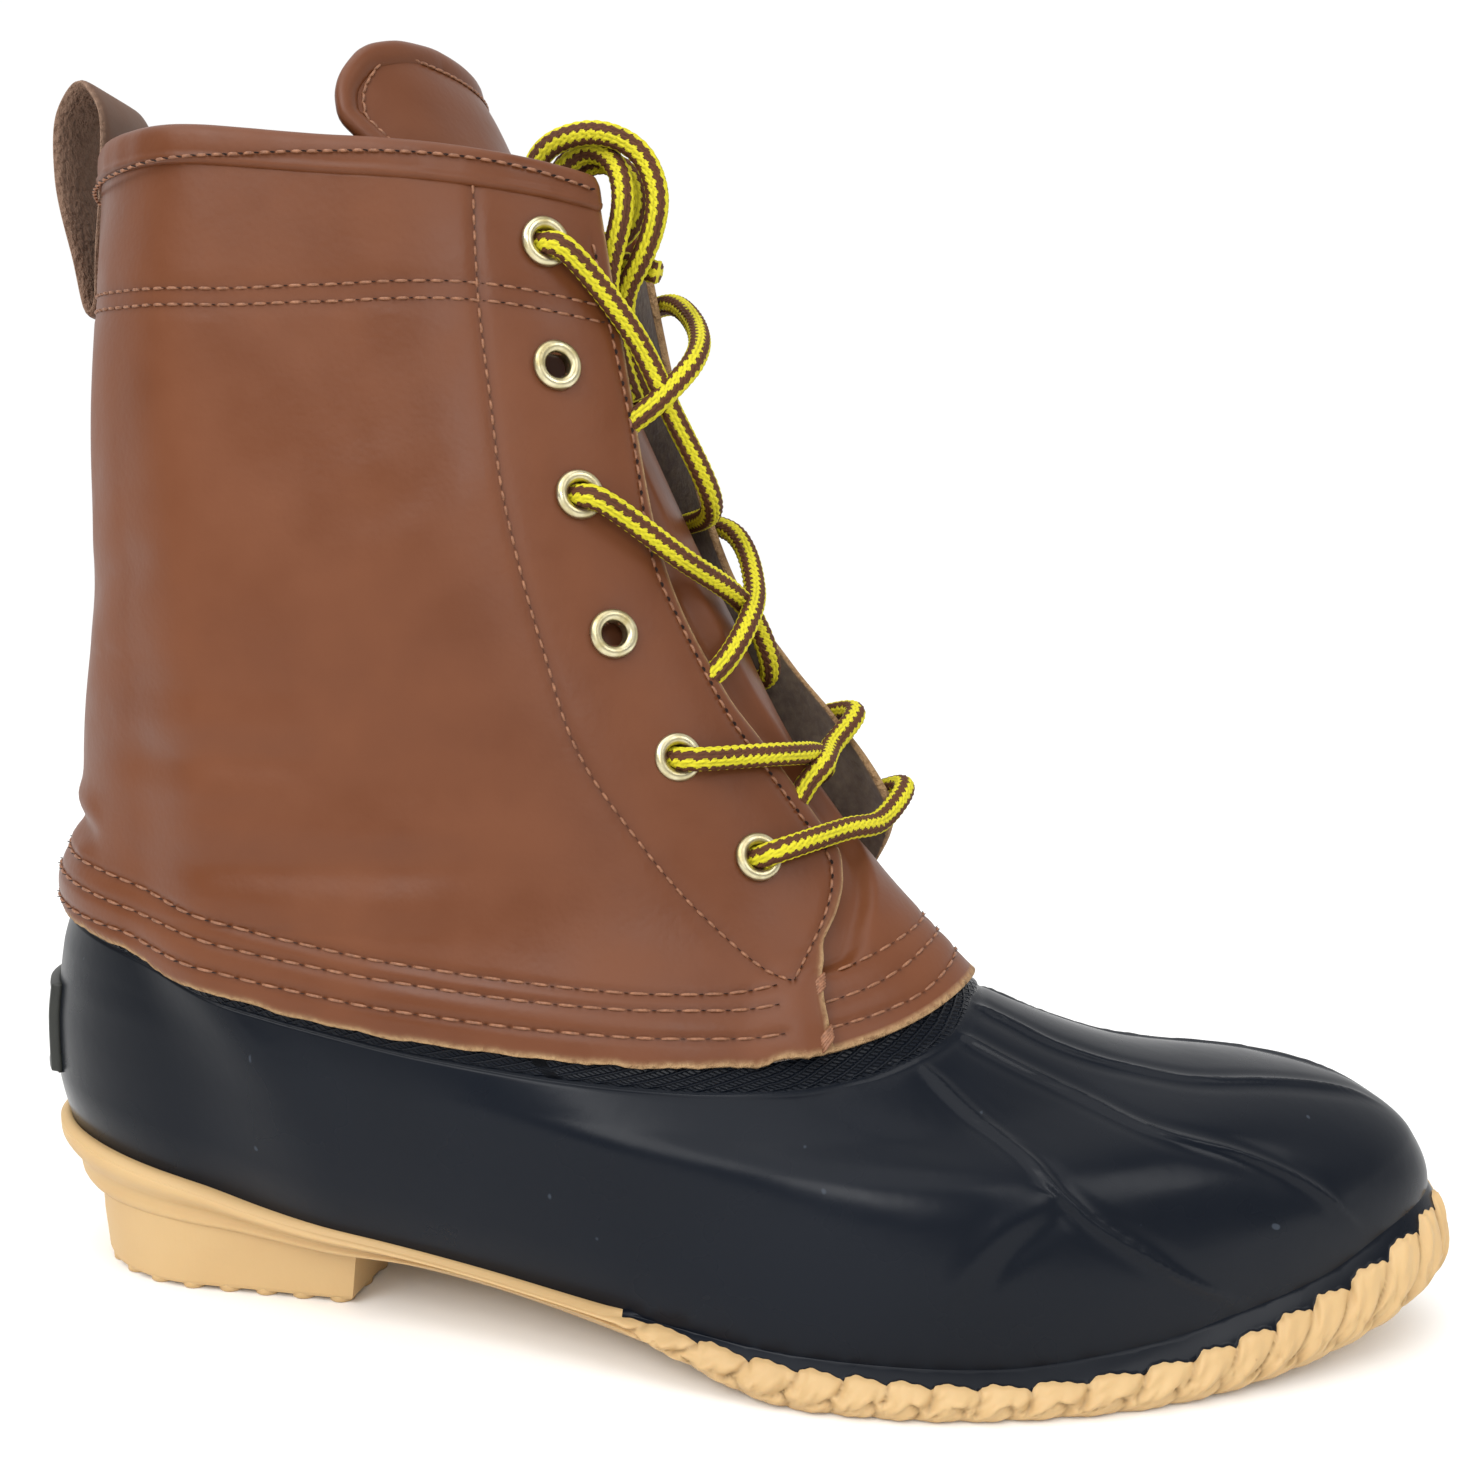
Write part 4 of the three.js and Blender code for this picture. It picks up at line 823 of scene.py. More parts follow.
@dataclass(frozen=True)
class BraidFinish(Finish):
    """Braided polyester lace: yellow chevrons on brown, each stitch a bundle of fine shiny filaments."""

    second: str = "#593520"
    # painted shade: dark colour laid into the gaps between stitches by the piece's shade attribute
    painted_shade_tone: str = "#1f140a"

    def build(self) -> bpy.types.Material:
        """Colour by the piece's own strand attribute, darkened by painted shade in the gaps between stitches,
        with filaments by bump.
        """
        material, tree, shader = self.start()
        colour = mixed_colour(tree, ramp(tree, marked(tree, "strand"), 0.45, 0.55), self.colour, self.second)
        # painted shade in the dips of the braid
        colour = mixed_colour(tree, marked(tree, "painted_shade"), colour, self.painted_shade_tone)
        tree.links.new(colour, shader.inputs["Base Color"])
        add_bump(tree, shader, object_noise(tree, 0.35, 3.0), 0.15)
        return material


@dataclass(frozen=True)
class ThreadFinish(Finish):
    """Bonded nylon thread: twisted, with a slight gloss."""

    second: str = "#6e452c"

    def build(self) -> bpy.types.Material:
        """Thread with a fine twist in colour and bump."""
        material, tree, shader = self.start()
        fibre = ramp(tree, object_noise(tree, 0.4, 2.0), 0.3, 0.7)
        tree.links.new(mixed_colour(tree, fibre, self.colour, self.second), shader.inputs["Base Color"])
        add_bump(tree, shader, object_noise(tree, 0.3, 2.0), 0.08)
        return material


@dataclass(frozen=True)
class PlainFinish(Finish):
    """A matt moulded or felted surface with a little grain."""

    second: str = "#000000"
    grain: float = 1.5

    def build(self) -> bpy.types.Material:
        """Two close tones and a fine grain."""
        material, tree, shader = self.start()
        mottle = ramp(tree, object_noise(tree, self.grain, 4.0), 0.3, 0.7)
        tree.links.new(mixed_colour(tree, mottle, self.colour, self.second), shader.inputs["Base Color"])
        add_bump(tree, shader, object_noise(tree, self.grain, 4.0), 0.12)
        return material


class Workshop:
    """The materials, each made once, and the log of pieces."""

    def __init__(self) -> None:
        """Make the boot's materials."""
        self.leather = LeatherFinish("waxed_cowhide", "#65381e", 0.42, ior=1.34).build()
        self.strap = LeatherFinish("strap_cowhide", "#664a39", 0.6, ior=1.38, deep="#4d3729",
                                   raw="#8f7462").build()
        self.suede = SuedeFinish("flesh_side_suede", "#55433a", 0.95).build()
        self.rubber = MouldedRubberFinish("moulded_rubber", "#0b0f16", 0.22, ior=1.25).build()
        self.gum = GumRubberFinish("crepe_rubber", "#c5a574", 0.6).build()
        self.brass = BrassFinish("plated_brass", "#d8d0b0", 0.26, metallic=1.0).build()
        self.braid = BraidFinish("braided_polyester", "#d0c628", 0.7, ior=1.3).build()
        self.thread = ThreadFinish("bonded_nylon", "#946446", 0.5).build()
        # painted shade: dark colour for the discs that stand for the shade inside the needle holes
        self.hole = PlainFinish("needle_hole_shade", "#2a1610", 0.9, second="#1c0e0a").build()
        self.felt = PlainFinish("insole_felt", "#3b3431", 0.95, second="#2a2523", grain=1.0).build()
        self.badge = PlainFinish("badge_rubber", "#23251f", 0.5, second="#181a16", grain=3.0).build()

    def finish(self, piece: bpy.types.Object, material: bpy.types.Material, slot: str, *nodes: str) -> None:
        """Give a piece its material and its body, hide the solids that it stands for, and log its faces and
        slot.
        """
        piece.data.materials.append(material)
        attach(piece, "root")
        if nodes:
            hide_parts(*nodes)
        LOG.info("%s: %d faces, slot %s", piece.name, len(piece.data.polygons), slot)


# Lines over the boot

def line_levels(levels_turns: LevelTurn, side: Side, quarter: bool, pitch: float) -> tuple[Points, Points]:
    """Even levels and turns along a line over the boot.

    Args:
        levels_turns: the points, with positive turns.
        side: which side of the boot.
        quarter: whether it lies on the quarters rather than on the skin.
        pitch: distance between the returned places.

    Returns:
        The levels and the signed turns.
    """
    table = np.asarray(levels_turns, float)
    place = FORM.quarter if quarter else FORM.skin
    rough = place(table[:, 0], side.value * table[:, 1])
    count = max(4, int(path_length(rough) / pitch))
    fine = smooth_path(table, 12 * len(table))
    spots = place(fine[:, 0], side.value * fine[:, 1])
    length = running_length(spots)
    even = np.linspace(0, length[-1], count)
    return np.interp(even, length, fine[:, 0]), side.value * np.interp(even, length, fine[:, 1])


def line_on_skin(levels_turns: LevelTurn, side: Side, out: float = 0.0, quarter: bool = False,
                 pitch: float = 1.0) -> tuple[Points, Points]:
    """Line over the boot through points of level and turn.

    Args:
        levels_turns: the points, with positive turns.
        side: which side of the boot.
        out: distance outwards.
        quarter: whether it lies on the quarters rather than on the skin.
        pitch: distance between the returned points.

    Returns:
        The points and their normals.
    """
    place = FORM.quarter if quarter else FORM.skin
    level, turn = line_levels(levels_turns, side, quarter, pitch)
    normal = (FORM.quarter_normal if quarter else FORM.normal)(level, turn)
    return place(level, turn, out), normal


# Rubber shell

@dataclass
class RubberShell:
    """The moulded rubber shoe, with its fanned toe ridges and knurled top band."""

    wall: float = 2.4
    ridge_height: float = 0.8
    ridge_width: float = 0.85
    band_step: float = 0.55
    front_columns: int = 430
    flank_columns: int = 120
    rows: int = 150
    band_rows: int = 26
    lap_rows: int = 8
    lining_rows: int = 12
    lap_level: float = 1.19
    ridges: tuple[LevelTurn, ...] = (
        ((0.952, 0.182), (0.855, 0.229), (0.600, 0.292), (0.390, 0.279), (0.170, 0.245), (0.13, 0.238)),
        ((0.965, 0.120), (0.875, 0.141), (0.735, 0.182), (0.600, 0.182), (0.450, 0.172), (0.285, 0.160),
         (0.170, 0.150)),
        ((0.980, 0.060), (0.940, 0.065), (0.910, 0.075), (0.850, 0.080), (0.760, 0.088), (0.655, 0.061),
         (0.545, 0.034), (0.44, 0.022)),
    )
    trough: LevelTurn = ((0.600, 0.292), (0.470, 0.343), (0.340, 0.370), (0.27, 0.382))
    # turn, level of the knurled band's lower edge
    band_edge: tuple[tuple[float, float], ...] = (
        (0.0, 0.985), (0.054, 0.985), (0.127, 0.965), (0.225, 0.955), (0.350, 0.955), (0.460, 0.962),
        (0.600, 0.972), (0.750, 0.985), (1.0, 0.993))

    def turns(self) -> Points:
        """Turns of the columns, closest round the toe where the ridges are."""
        front = np.linspace(-0.43, 0.43, self.front_columns)
        flank = np.linspace(0.43, 1.57, self.flank_columns + 2)[1:-1]
        return np.concatenate([front, np.where(flank > 1, flank - 2, flank)])

    def levels(self) -> Points:
        """Levels of the rows, closest at the band's two edges."""
        low = np.linspace(0.0, 0.94, self.rows - self.band_rows - self.lap_rows)
        band = np.linspace(0.946, 1.004, self.band_rows)
        return np.concatenate([low, band, np.linspace(1.012, self.lap_level, self.lap_rows)])

    def relief(self, level: Points, turn: Points) -> tuple[Points, Points]:
        """Height of the ridges, the branch's trough and the band over the skin, and the band's own mask."""
        points = FORM.point(level, turn)
        height = np.zeros(level.shape)
        for ridge in (*self.ridges, self.trough):
            for side in Side:
                path, _ = line_on_skin(ridge, side, pitch=0.7)
                distance, index = distance_to_path(points, path)
                share = index / (len(path) - 1)
                fade = ease(share / 0.06 + 0.15) * ease((1 - share) / 0.22)
                beyond = np.sign((np.abs(turn) - np.abs(np.interp(level, *self.sorted_ridge(ridge)))))
                shelf = np.where(beyond > 0, -0.22, 0.12) * bump(distance - 1.2, 5.0) * (distance < 30)
                if ridge is self.trough:
                    bank = 0.28 * bump(distance - 4.6, 2.4) * (beyond > 0)
                    height -= fade * (0.38 * bump(distance, 2.4) - bank)
                    continue
                height += fade * (self.ridge_height * bump(distance, self.ridge_width)
                                  - 0.16 * bump(distance - 2.6, 1.4) + shelf * 0.5)
        table = np.asarray(self.band_edge)
        lower = np.interp(np.abs(turn), table[:, 0], table[:, 1])
        band = ease((level - lower) / 0.007) * (level < 1.02)
        groove = bump((level - lower + 0.006) / 0.010, 0.5)
        return height + self.band_step * band - 0.3 * groove, band

    def sorted_ridge(self, ridge: LevelTurn) -> tuple[Points, Points]:
        """A ridge's turn as a function of level."""
        table = np.asarray(ridge)
        order = table[:, 0].argsort()
        return table[order, 0], table[order, 1]

    def build(self, shop: Workshop) -> None:
        """Make the shell.

        Args:
            shop: the materials.
        """
        levels, turns = self.levels(), self.turns()
        level, turn = np.meshgrid(levels, turns, indexing="ij")
        height, band = self.relief(level, turn)
        outer = FORM.skin(level, turn, height)
        depths = np.linspace(levels[-1], levels[0], self.lining_rows)
        depth, around = np.meshgrid(depths, turns, indexing="ij")
        rings = np.concatenate([outer, FORM.skin(depth, around, -self.wall)])
        faces = grid_faces(len(rings), len(turns), True)
        here, after, _, _ = faces[:len(turns)].T
        under = (len(rings) - 1) * len(turns)
        faces = np.vstack([faces, np.stack([here + under, after + under, after, here], -1)])
        piece = store_mesh("rubber_shell_moulded", rings.reshape(-1, 3), faces)
        step = np.linalg.norm(np.diff(outer, axis=1, append=outer[:, :1]), axis=-1)
        around = np.cumsum(step[levels.searchsorted(0.96)]) - step[levels.searchsorted(0.96), 0]
        up = np.cumsum(np.linalg.norm(np.diff(outer, axis=0, prepend=outer[:1]), axis=-1), axis=0)
        uv = np.stack([np.broadcast_to(around, up.shape), up], -1)
        set_uv(piece, np.vstack([uv.reshape(-1, 2), np.zeros((depth.size, 2))]))
        set_value(piece, "band", np.concatenate([band.ravel(), np.zeros(depth.size)]))
        shop.finish(piece, shop.rubber, "shell_rubber", "rubber_shell")


# Sole

@dataclass
class Outsole:
    """Gum rubber sole: a rolled lip at the heel and waist, and a braided edge round the forefoot."""

    stations: int = 1300
    lump_pitch: float = 9.4
    lump_depth: float = 1.25
    braid_start: float = 0.455
    side_rows: int = 22
    gum_rows: int = 16
    # share of the length, share of the side's height that the gum covers
    braid_top: tuple[tuple[float, float], ...] = (
        (0.0, 0.97), (0.46, 0.97), (0.50, 0.90), (0.55, 0.84), (0.67, 0.79), (0.72, 0.78), (0.78, 0.74),
        (0.82, 0.73), (0.86, 0.74), (0.90, 0.80), (0.96, 0.82), (1.0, 0.90))
    lug_width: float = 6.0
    lug_pitch: float = 12.0
    nub_radius: float = 2.6
    nub_pitch: float = 8.2

    def height(self, column: int, x: Points) -> Points:
        """Height of the edge's foot (0) or of the underside (1) at a place along the sole."""
        return Monotone(UNDERSIDE)((x + HEEL_CENTRE) / SOLE_LENGTH)[..., column] * RUBBER_HEIGHT

    def turns(self) -> Points:
        """Turns of the stations, evenly spaced by length, mirrored about the middle."""
        fine = np.linspace(0.0015, 0.9985, 6000)
        ring = FORM.outline(RIM_OUTLINE, fine, 0.0)
        length = running_length(ring)
        half = np.interp(np.linspace(0, length[-1], self.stations // 2), length, fine)
        return np.concatenate([-half[::-1], half])

    def side_grid(self, turn: Points) -> tuple[Points, Points]:
        """Profile of the sole's side at each station, from its foot up to the lip.

        The outlines of foot, belly and rim are blended by a quadratic. In the braided part the side swells in
        slanted lumps: two strands half a pitch apart, each a rounded ridge cut by a crease.

        Args:
            turn: the stations' turns.

        Returns:
            Points by row and station, and how deep in a crease each lies.
        """
        along = along_ring(turn)
        braid = ease((along - self.braid_start) / 0.03)
        base = FORM.outline(RIM_OUTLINE, turn, 0.0)
        step = np.linalg.norm(np.diff(base[:, :2], axis=0, prepend=base[:1, :2]), axis=1)
        run = np.cumsum(step)
        run = np.abs(run - run[len(run) // 2])
        phase = (run + 1.8 * np.sin(run / 23.0) + 1.4 * np.sin(run / 11.3 + 1.0)) / self.lump_pitch
        lump = np.floor(phase)
        odd = np.sin(lump * 12.9898) * 0.5
        place = phase - lump
        tooth = np.where(place < 0.72, place / 0.72, (1 - place) / 0.28) ** 0.42
        table = np.asarray(self.braid_top)
        top = np.interp(along, table[:, 0], table[:, 1])
        top = np.minimum(top + braid * (0.15 * (tooth - 0.72) + 0.05 * odd + 0.012 * np.sin(run * 2.3)), 0.97)
        low = np.linspace(0, 1, self.gum_rows)[:, None]
        high = np.linspace(0, 1, self.side_rows - self.gum_rows)[:, None]
        share = np.vstack([low * top[None], top[None] + (1 - top[None]) * high])
        local = np.vstack([np.broadcast_to(low, (self.gum_rows, len(turn))), np.ones((len(high), len(turn)))])
        foot = FORM.outline(FOOT_OUTLINE, turn, 0.0)
        belly = FORM.outline(BELLY_OUTLINE, turn, 0.0)
        rim = base + braid[:, None] * (FORM.skin(np.full(turn.shape, 0.15), turn, 0.1) - base)
        foot[:, 2] = self.height(0, foot[:, 0])
        rim[:, 2] = FORM.point(0.15, turn)[:, 2]
        belly[:, 2] = (foot[:, 2] + rim[:, 2]) / 2
        blend = [2 * (share - 0.5) * (share - 1), 4 * share * (1 - share), 2 * share * (share - 0.5)]
        grid = sum(weight[:, :, None] * ring[None] for weight, ring in zip(blend, (foot, belly, rim)))
        toe = ease((along - 0.9) / 0.1)
        out = unit(np.stack([toe, np.sign(np.sin(np.pi * turn)), np.zeros_like(turn)], -1))
        slant = 0.45 + 0.7 * odd
        upper = np.abs(np.cos(np.pi * (phase[None] + 0.5 + slant * (local - 1))))
        lower = np.abs(np.cos(np.pi * (phase[None] + 0.25 - 0.6 * local + 0.12 * np.sin(local * 5 + odd))))
        split = ease((local - 0.34 - 0.16 * np.sin(2 * np.pi * phase + 3 * odd)[None]) / 0.14)
        strand = lower ** 0.5 * (1 - split) + upper ** 0.5 * split
        seam = bump(split - 0.5, 0.25) * 0.4
        folds = np.abs(np.sin(phase[None] * 7.3 + local * 4.1 + 2 * odd))
        folds = folds * np.abs(np.sin(local * 6.0 + phase[None] * 3.1))
        foot_round = np.sin(np.pi * np.clip(local, 0.02, 0.5)) ** 0.35
        edge = np.where(local < 0.5, foot_round, 1 - 0.3 * (2 * local - 1) ** 6)
        gum = np.ones(share.shape)
        gum[self.gum_rows:] = 0.0
        rise = (strand - 0.62) * 1.7 - seam + 0.75 * (folds - 0.35) + 0.25 * odd + 0.35
        swell = self.lump_depth * rise * edge
        swell = braid * swell * gum + braid * (1 - gum) * -0.12
        lip = (1 - braid) * (0.9 * bump(share - 0.80, 0.17) - 1.4 * bump(share - 0.36, 0.16)
                             + 0.3 * bump(share - 0.1, 0.10))
        grid = grid + out[None] * (swell + lip)[..., None]
        # painted shade: how deep each point lies in a crease, which darkens the gum's colour
        crease = np.clip(braid * gum * ((0.55 - strand) * 1.3 + seam), 0, 0.75) * ease(local / 0.1)
        return grid, crease

    def build(self, shop: Workshop) -> None:
        """Make the sole, its heel block and its tread.

        Args:
            shop: the materials.
        """
        turn = self.turns()
        side, crease = self.side_grid(turn)
        under = FORM.outline(UNDER_OUTLINE, turn, 0.0)
        under[:, 2] = self.height(1, under[:, 0])
        edge = 0.5 * (under + side[0])
        edge[:, 2] = np.minimum(under[:, 2], side[0, :, 2]) + 0.15
        braided = ease((along_ring(turn) - self.braid_start) / 0.03)
        lip = FORM.skin(np.full(turn.shape, 0.165), turn, 0.25 - 0.37 * braided)
        roll = 0.45 * side[-1] + 0.55 * lip
        roll[:, 2] = side[-1, :, 2] * 0.75 + lip[:, 2] * 0.25 + 0.35 * (1 - braided)
        sunk = FORM.skin(np.full(turn.shape, 0.10), turn, -1.2)
        bed = FORM.skin(np.full(turn.shape, 0.02), turn, -1.6)
        bed[:, 2] = FORM.point(0.0, turn)[:, 2] - GAP
        rings = np.concatenate([under[None], edge[None], side, roll[None], lip[None], sunk[None], bed[None]])
        rows, columns = rings.shape[:2]
        faces = [grid_faces(rows, columns, True)]
        for row, flip in ((0, False), (rows - 1, True)):
            i = np.arange(columns // 2 - 1)
            start = row * columns
            quads = np.stack([start + i, start + columns - 1 - i, start + columns - 2 - i, start + i + 1], -1)
            faces.append(quads[:, ::-1] if flip else quads)
        piece = store_mesh("outsole_moulded", rings.reshape(-1, 3), np.vstack(faces))
        # painted shade in the braid's creases, read by the gum material
        mark = np.zeros((rows, columns))
        mark[2:2 + len(side)] = crease
        set_value(piece, "crease", mark)
        set_value(piece, "band", np.zeros((rows, columns)))
        shop.finish(piece, shop.gum, "gum_rubber", "outsole")
        piece.data.materials.append(shop.rubber)
        index = np.zeros(len(piece.data.polygons), np.int32)
        strip = index[:(rows - 1) * columns].reshape(rows - 1, columns)
        strip[2 + self.gum_rows:] = braided > 0.5
        piece.data.polygons.foreach_set("material_index", index)
        self.heel(shop)
        self.tread(shop)
        self.nubs(shop)

    def heel_outline(self, inset: float, count: int = 90) -> Points:
        """Outline of the heel block: a straight breast, straight flanks and an elliptical back."""
        back, front = HEEL_BACK - HEEL_CENTRE + inset, HEEL_BACK - HEEL_CENTRE + HEEL_LENGTH - inset
        half = HEEL_HALF_WIDTH - inset
        reach = half * 1.1
        angle = np.linspace(np.pi / 2, 3 * np.pi / 2, count)
        arc = np.stack([back + reach + reach * np.cos(angle), half * np.sin(angle)], -1)
        flank = np.linspace(front, back + reach, 12)[:-1]
        breast = np.linspace(-half, half, 20)[1:-1]
        side = np.full(len(flank), half)
        return np.vstack([np.column_stack([flank, side]), arc, np.column_stack([flank[::-1], -side]),
                          np.column_stack([np.full(len(breast), front), breast])])

    def heel(self, shop: Workshop) -> None:
        """The heel block, flaring a little upwards, with a worn lower edge."""
        rows = []
        for inset, height in ((1.2, 0.9), (0.35, 1.15), (0.0, 1.9), (-0.5, 6.0), (-1.0, 10.0)):
            ring = self.heel_outline(inset)
            rows.append(np.column_stack([ring, np.full(len(ring), height)]))
        top = self.heel_outline(-1.5)
        rows.append(np.column_stack([top, self.height(1, top[:, 0]) + 1.2]))
        grid = np.array(rows)
        grid[1:4, :, 2] += 0.25 * np.sin(grid[1:4, :, 0] / 6.0) * np.array([0.2, 0.6, 1.0])[:, None]
        centre = np.array([[0.0, 0.0, 0.9], [0.0, 0.0, grid[-1, :, 2].mean()]])
        shop.finish(tube_piece("heel_block", grid, centre, False), shop.gum, "gum_rubber")

    def nubs(self, shop: Workshop) -> None:
        """Small round nubs along the heel's edge, with a flat pad at its centre."""
        line = self.heel_outline(2.9)
        loop = np.vstack([line, line[:1]])
        length = running_length(loop)
        count = int(length[-1] / self.nub_pitch)
        even = np.linspace(0, length[-1], count, endpoint=False)
        spots = np.stack([np.interp(even, length, loop[:, 0]), np.interp(even, length, loop[:, 1]),
                          np.zeros(count)], -1)
        spots = np.vstack([spots, [[0.0, 0.0, 0.0]]])
        around = 20
        angle = np.linspace(0, 2 * np.pi, around, endpoint=False)
        circle = np.stack([np.cos(angle), np.sin(angle)], -1)
        shape = np.vstack([np.column_stack([circle * size, np.full(around, height)])
                           for size, height in ((0.86, 0.0), (1.0, 0.25), (1.08, 2.2))])
        cap = np.stack([np.zeros(around - 2, int), np.arange(2, around), np.arange(1, around - 1)], -1)
        faces = np.vstack([triangles(grid_faces(3, around, True)), cap, cap[:, ::-1] + 2 * around])
        size = np.append(np.full(count, self.nub_radius), HEEL_HALF_WIDTH * 0.45)
        frames = np.einsum("n,ij->nij", size, np.eye(3))
        frames[:, 2, 2] = 1.0
        shop.finish(joined_copies("heel_nubs", shape, faces, spots, frames), shop.gum, "gum_rubber")

    def tread(self, shop: Workshop) -> None:
        """Wavy bars across the forefoot, closer together than the solid's own."""
        strips, faces, start, count = [], [], 0, 61
        for x in np.arange(0.59 * SOLE_LENGTH, 0.805 * SOLE_LENGTH, self.lug_pitch):
            along = (x / SOLE_LENGTH - UNDER_OUTLINE.back) / (UNDER_OUTLINE.front - UNDER_OUTLINE.back)
            turn = np.arccos(2 * along - 1) / np.pi
            outer = FORM.outline(UNDER_OUTLINE, np.array([-turn]), 0.0)[0, 1]
            inner = FORM.outline(UNDER_OUTLINE, np.array([turn]), 0.0)[0, 1]
            share = np.linspace(0, 1, count)
            middle = x - HEEL_CENTRE + np.sin(share * np.pi * 8) * self.lug_width * 0.3
            y = outer + 4 + (inner - outer - 8) * share
            top = self.height(1, np.array([x - HEEL_CENTRE]))[0] + 1.0
            half = self.lug_width / 2
            section = ((-half, 0.3), (-half + 0.4, 0.0), (half - 0.4, 0.0), (half, 0.3), (half, top),
                       (-half, top))
            strips.append(np.vstack([np.column_stack([middle + across, y, np.full(count, height)])
                                     for across, height in section]))
            j, i = np.meshgrid(np.arange(6), np.arange(count - 1), indexing="ij")
            here, beside = j * count + i, (j + 1) % 6 * count + i
            quads = np.stack([here, beside, beside + 1, here + 1], -1).reshape(-1, 4)
            ends = np.array([[0, 5, 4, 1], [1, 4, 3, 2]]) * count
            faces.append(np.vstack([quads, ends, ends[:, ::-1] + count - 1]) + start)
            start += len(strips[-1])
        piece = store_mesh("forefoot_bars", np.vstack(strips), np.vstack(faces), False)
        shop.finish(piece, shop.gum, "gum_rubber")


# Leather

@dataclass(frozen=True)
class Seam:
    """A row of stitches over the leather."""

    name: str
    line: LevelTurn
    pitch: float
    stitch: float
    groove: float
    quarter: bool
    lift: float = LEATHER_OUTSIDE


FACING_SEAM: LevelTurn = (
    (2.880, 0.164), (2.560, 0.149), (2.300, 0.162), (2.160, 0.152), (1.945, 0.140), (1.840, 0.127),
    (1.705, 0.112), (1.585, 0.106), (1.525, 0.124), (1.445, 0.159), (1.345, 0.206), (1.285, 0.228))
EYESTAY_SEAM: LevelTurn = (
    (2.965, 0.311), (2.765, 0.319), (2.580, 0.321), (2.430, 0.325), (2.280, 0.324), (2.090, 0.323),
    (1.850, 0.323), (1.630, 0.297), (1.420, 0.259), (1.285, 0.232))
SEAMS: tuple[Seam, ...] = (
    Seam("facing", FACING_SEAM, 3.1, 2.2, 0.28, True),
    Seam("eyestay", EYESTAY_SEAM, 2.9, 2.1, 0.30, True),
    Seam("collar_upper", ((2.742, 0.985), (2.720, 0.762), (2.725, 0.604), (2.748, 0.501), (2.778, 0.325),
                          (2.773, 0.167)), 3.4, 2.7, 0.30, True),
    Seam("collar_lower", ((2.712, 0.985), (2.690, 0.762), (2.697, 0.604), (2.720, 0.501), (2.750, 0.325),
                          (2.745, 0.167)), 3.4, 2.7, 0.30, True),
    Seam("welt_upper", ((1.240, 0.985), (1.240, 0.864), (1.290, 0.690), (1.300, 0.600), (1.300, 0.521),
                        (1.298, 0.445), (1.290, 0.372), (1.285, 0.305), (1.282, 0.245)),
         4.7, 3.8, 0.34, True),
    Seam("welt_middle", ((1.165, 0.985), (1.180, 0.782), (1.215, 0.674), (1.235, 0.521), (1.230, 0.381),
                         (1.228, 0.310), (1.215, 0.252)), 4.7, 3.8, 0.34, True),
    Seam("welt_lower", ((1.065, 0.985), (1.070, 0.806), (1.110, 0.699), (1.135, 0.496), (1.130, 0.369),
                        (1.125, 0.318), (1.112, 0.260)), 4.7, 3.8, 0.34, True),
    Seam("collar_binding", ((2.915, 0.985), (2.918, 0.764), (2.940, 0.603), (2.960, 0.495), (2.970, 0.385),
                            (2.972, 0.276), (2.962, 0.160)), 3.0, 2.1, 0.0, True, 3.75),
    Seam("vamp_upper", ((1.280, 0.185), (1.280, 0.144), (1.275, 0.059), (1.275, 0.004)),
         4.6, 3.7, 0.28, False),
    Seam("vamp_middle", ((1.190, 0.215), (1.190, 0.150), (1.205, 0.056), (1.205, 0.004)),
         4.6, 3.7, 0.28, False),
    Seam("vamp_lower", ((1.100, 0.225), (1.090, 0.162), (1.085, 0.117), (1.110, 0.029), (1.115, 0.004)),
         4.6, 3.7, 0.28, False),
)


@dataclass(frozen=True)
class Crease:
    """A soft fold of the shaft: a line over it, how deep its trough is and how wide."""

    line: LevelTurn
    side: Side
    depth: float
    width: float


CREASES: tuple[Crease, ...] = (
    Crease(((1.62, 0.80), (1.72, 0.66), (1.78, 0.52)), Side.OUTER, 0.8, 5.0),
    Crease(((1.40, 0.74), (1.48, 0.62), (1.56, 0.48), (1.60, 0.40)), Side.OUTER, 0.9, 5.5),
    Crease(((1.36, 0.97), (1.37, 0.90), (1.36, 0.80)), Side.OUTER, 1.5, 3.6),
    Crease(((1.36, 0.97), (1.37, 0.90), (1.36, 0.80)), Side.INNER, 1.5, 3.6),
    Crease(((2.05, 0.90), (2.10, 0.78), (2.20, 0.66)), Side.OUTER, 0.5, 7.0),
    Crease(((1.55, 0.82), (1.66, 0.66), (1.74, 0.50)), Side.INNER, 0.9, 6.0),
    Crease(((1.95, 0.86), (2.06, 0.70), (2.16, 0.56)), Side.INNER, 0.6, 7.0),
    Crease(((2.30, 0.50), (2.38, 0.42), (2.50, 0.38)), Side.OUTER, 0.35, 6.0),
)


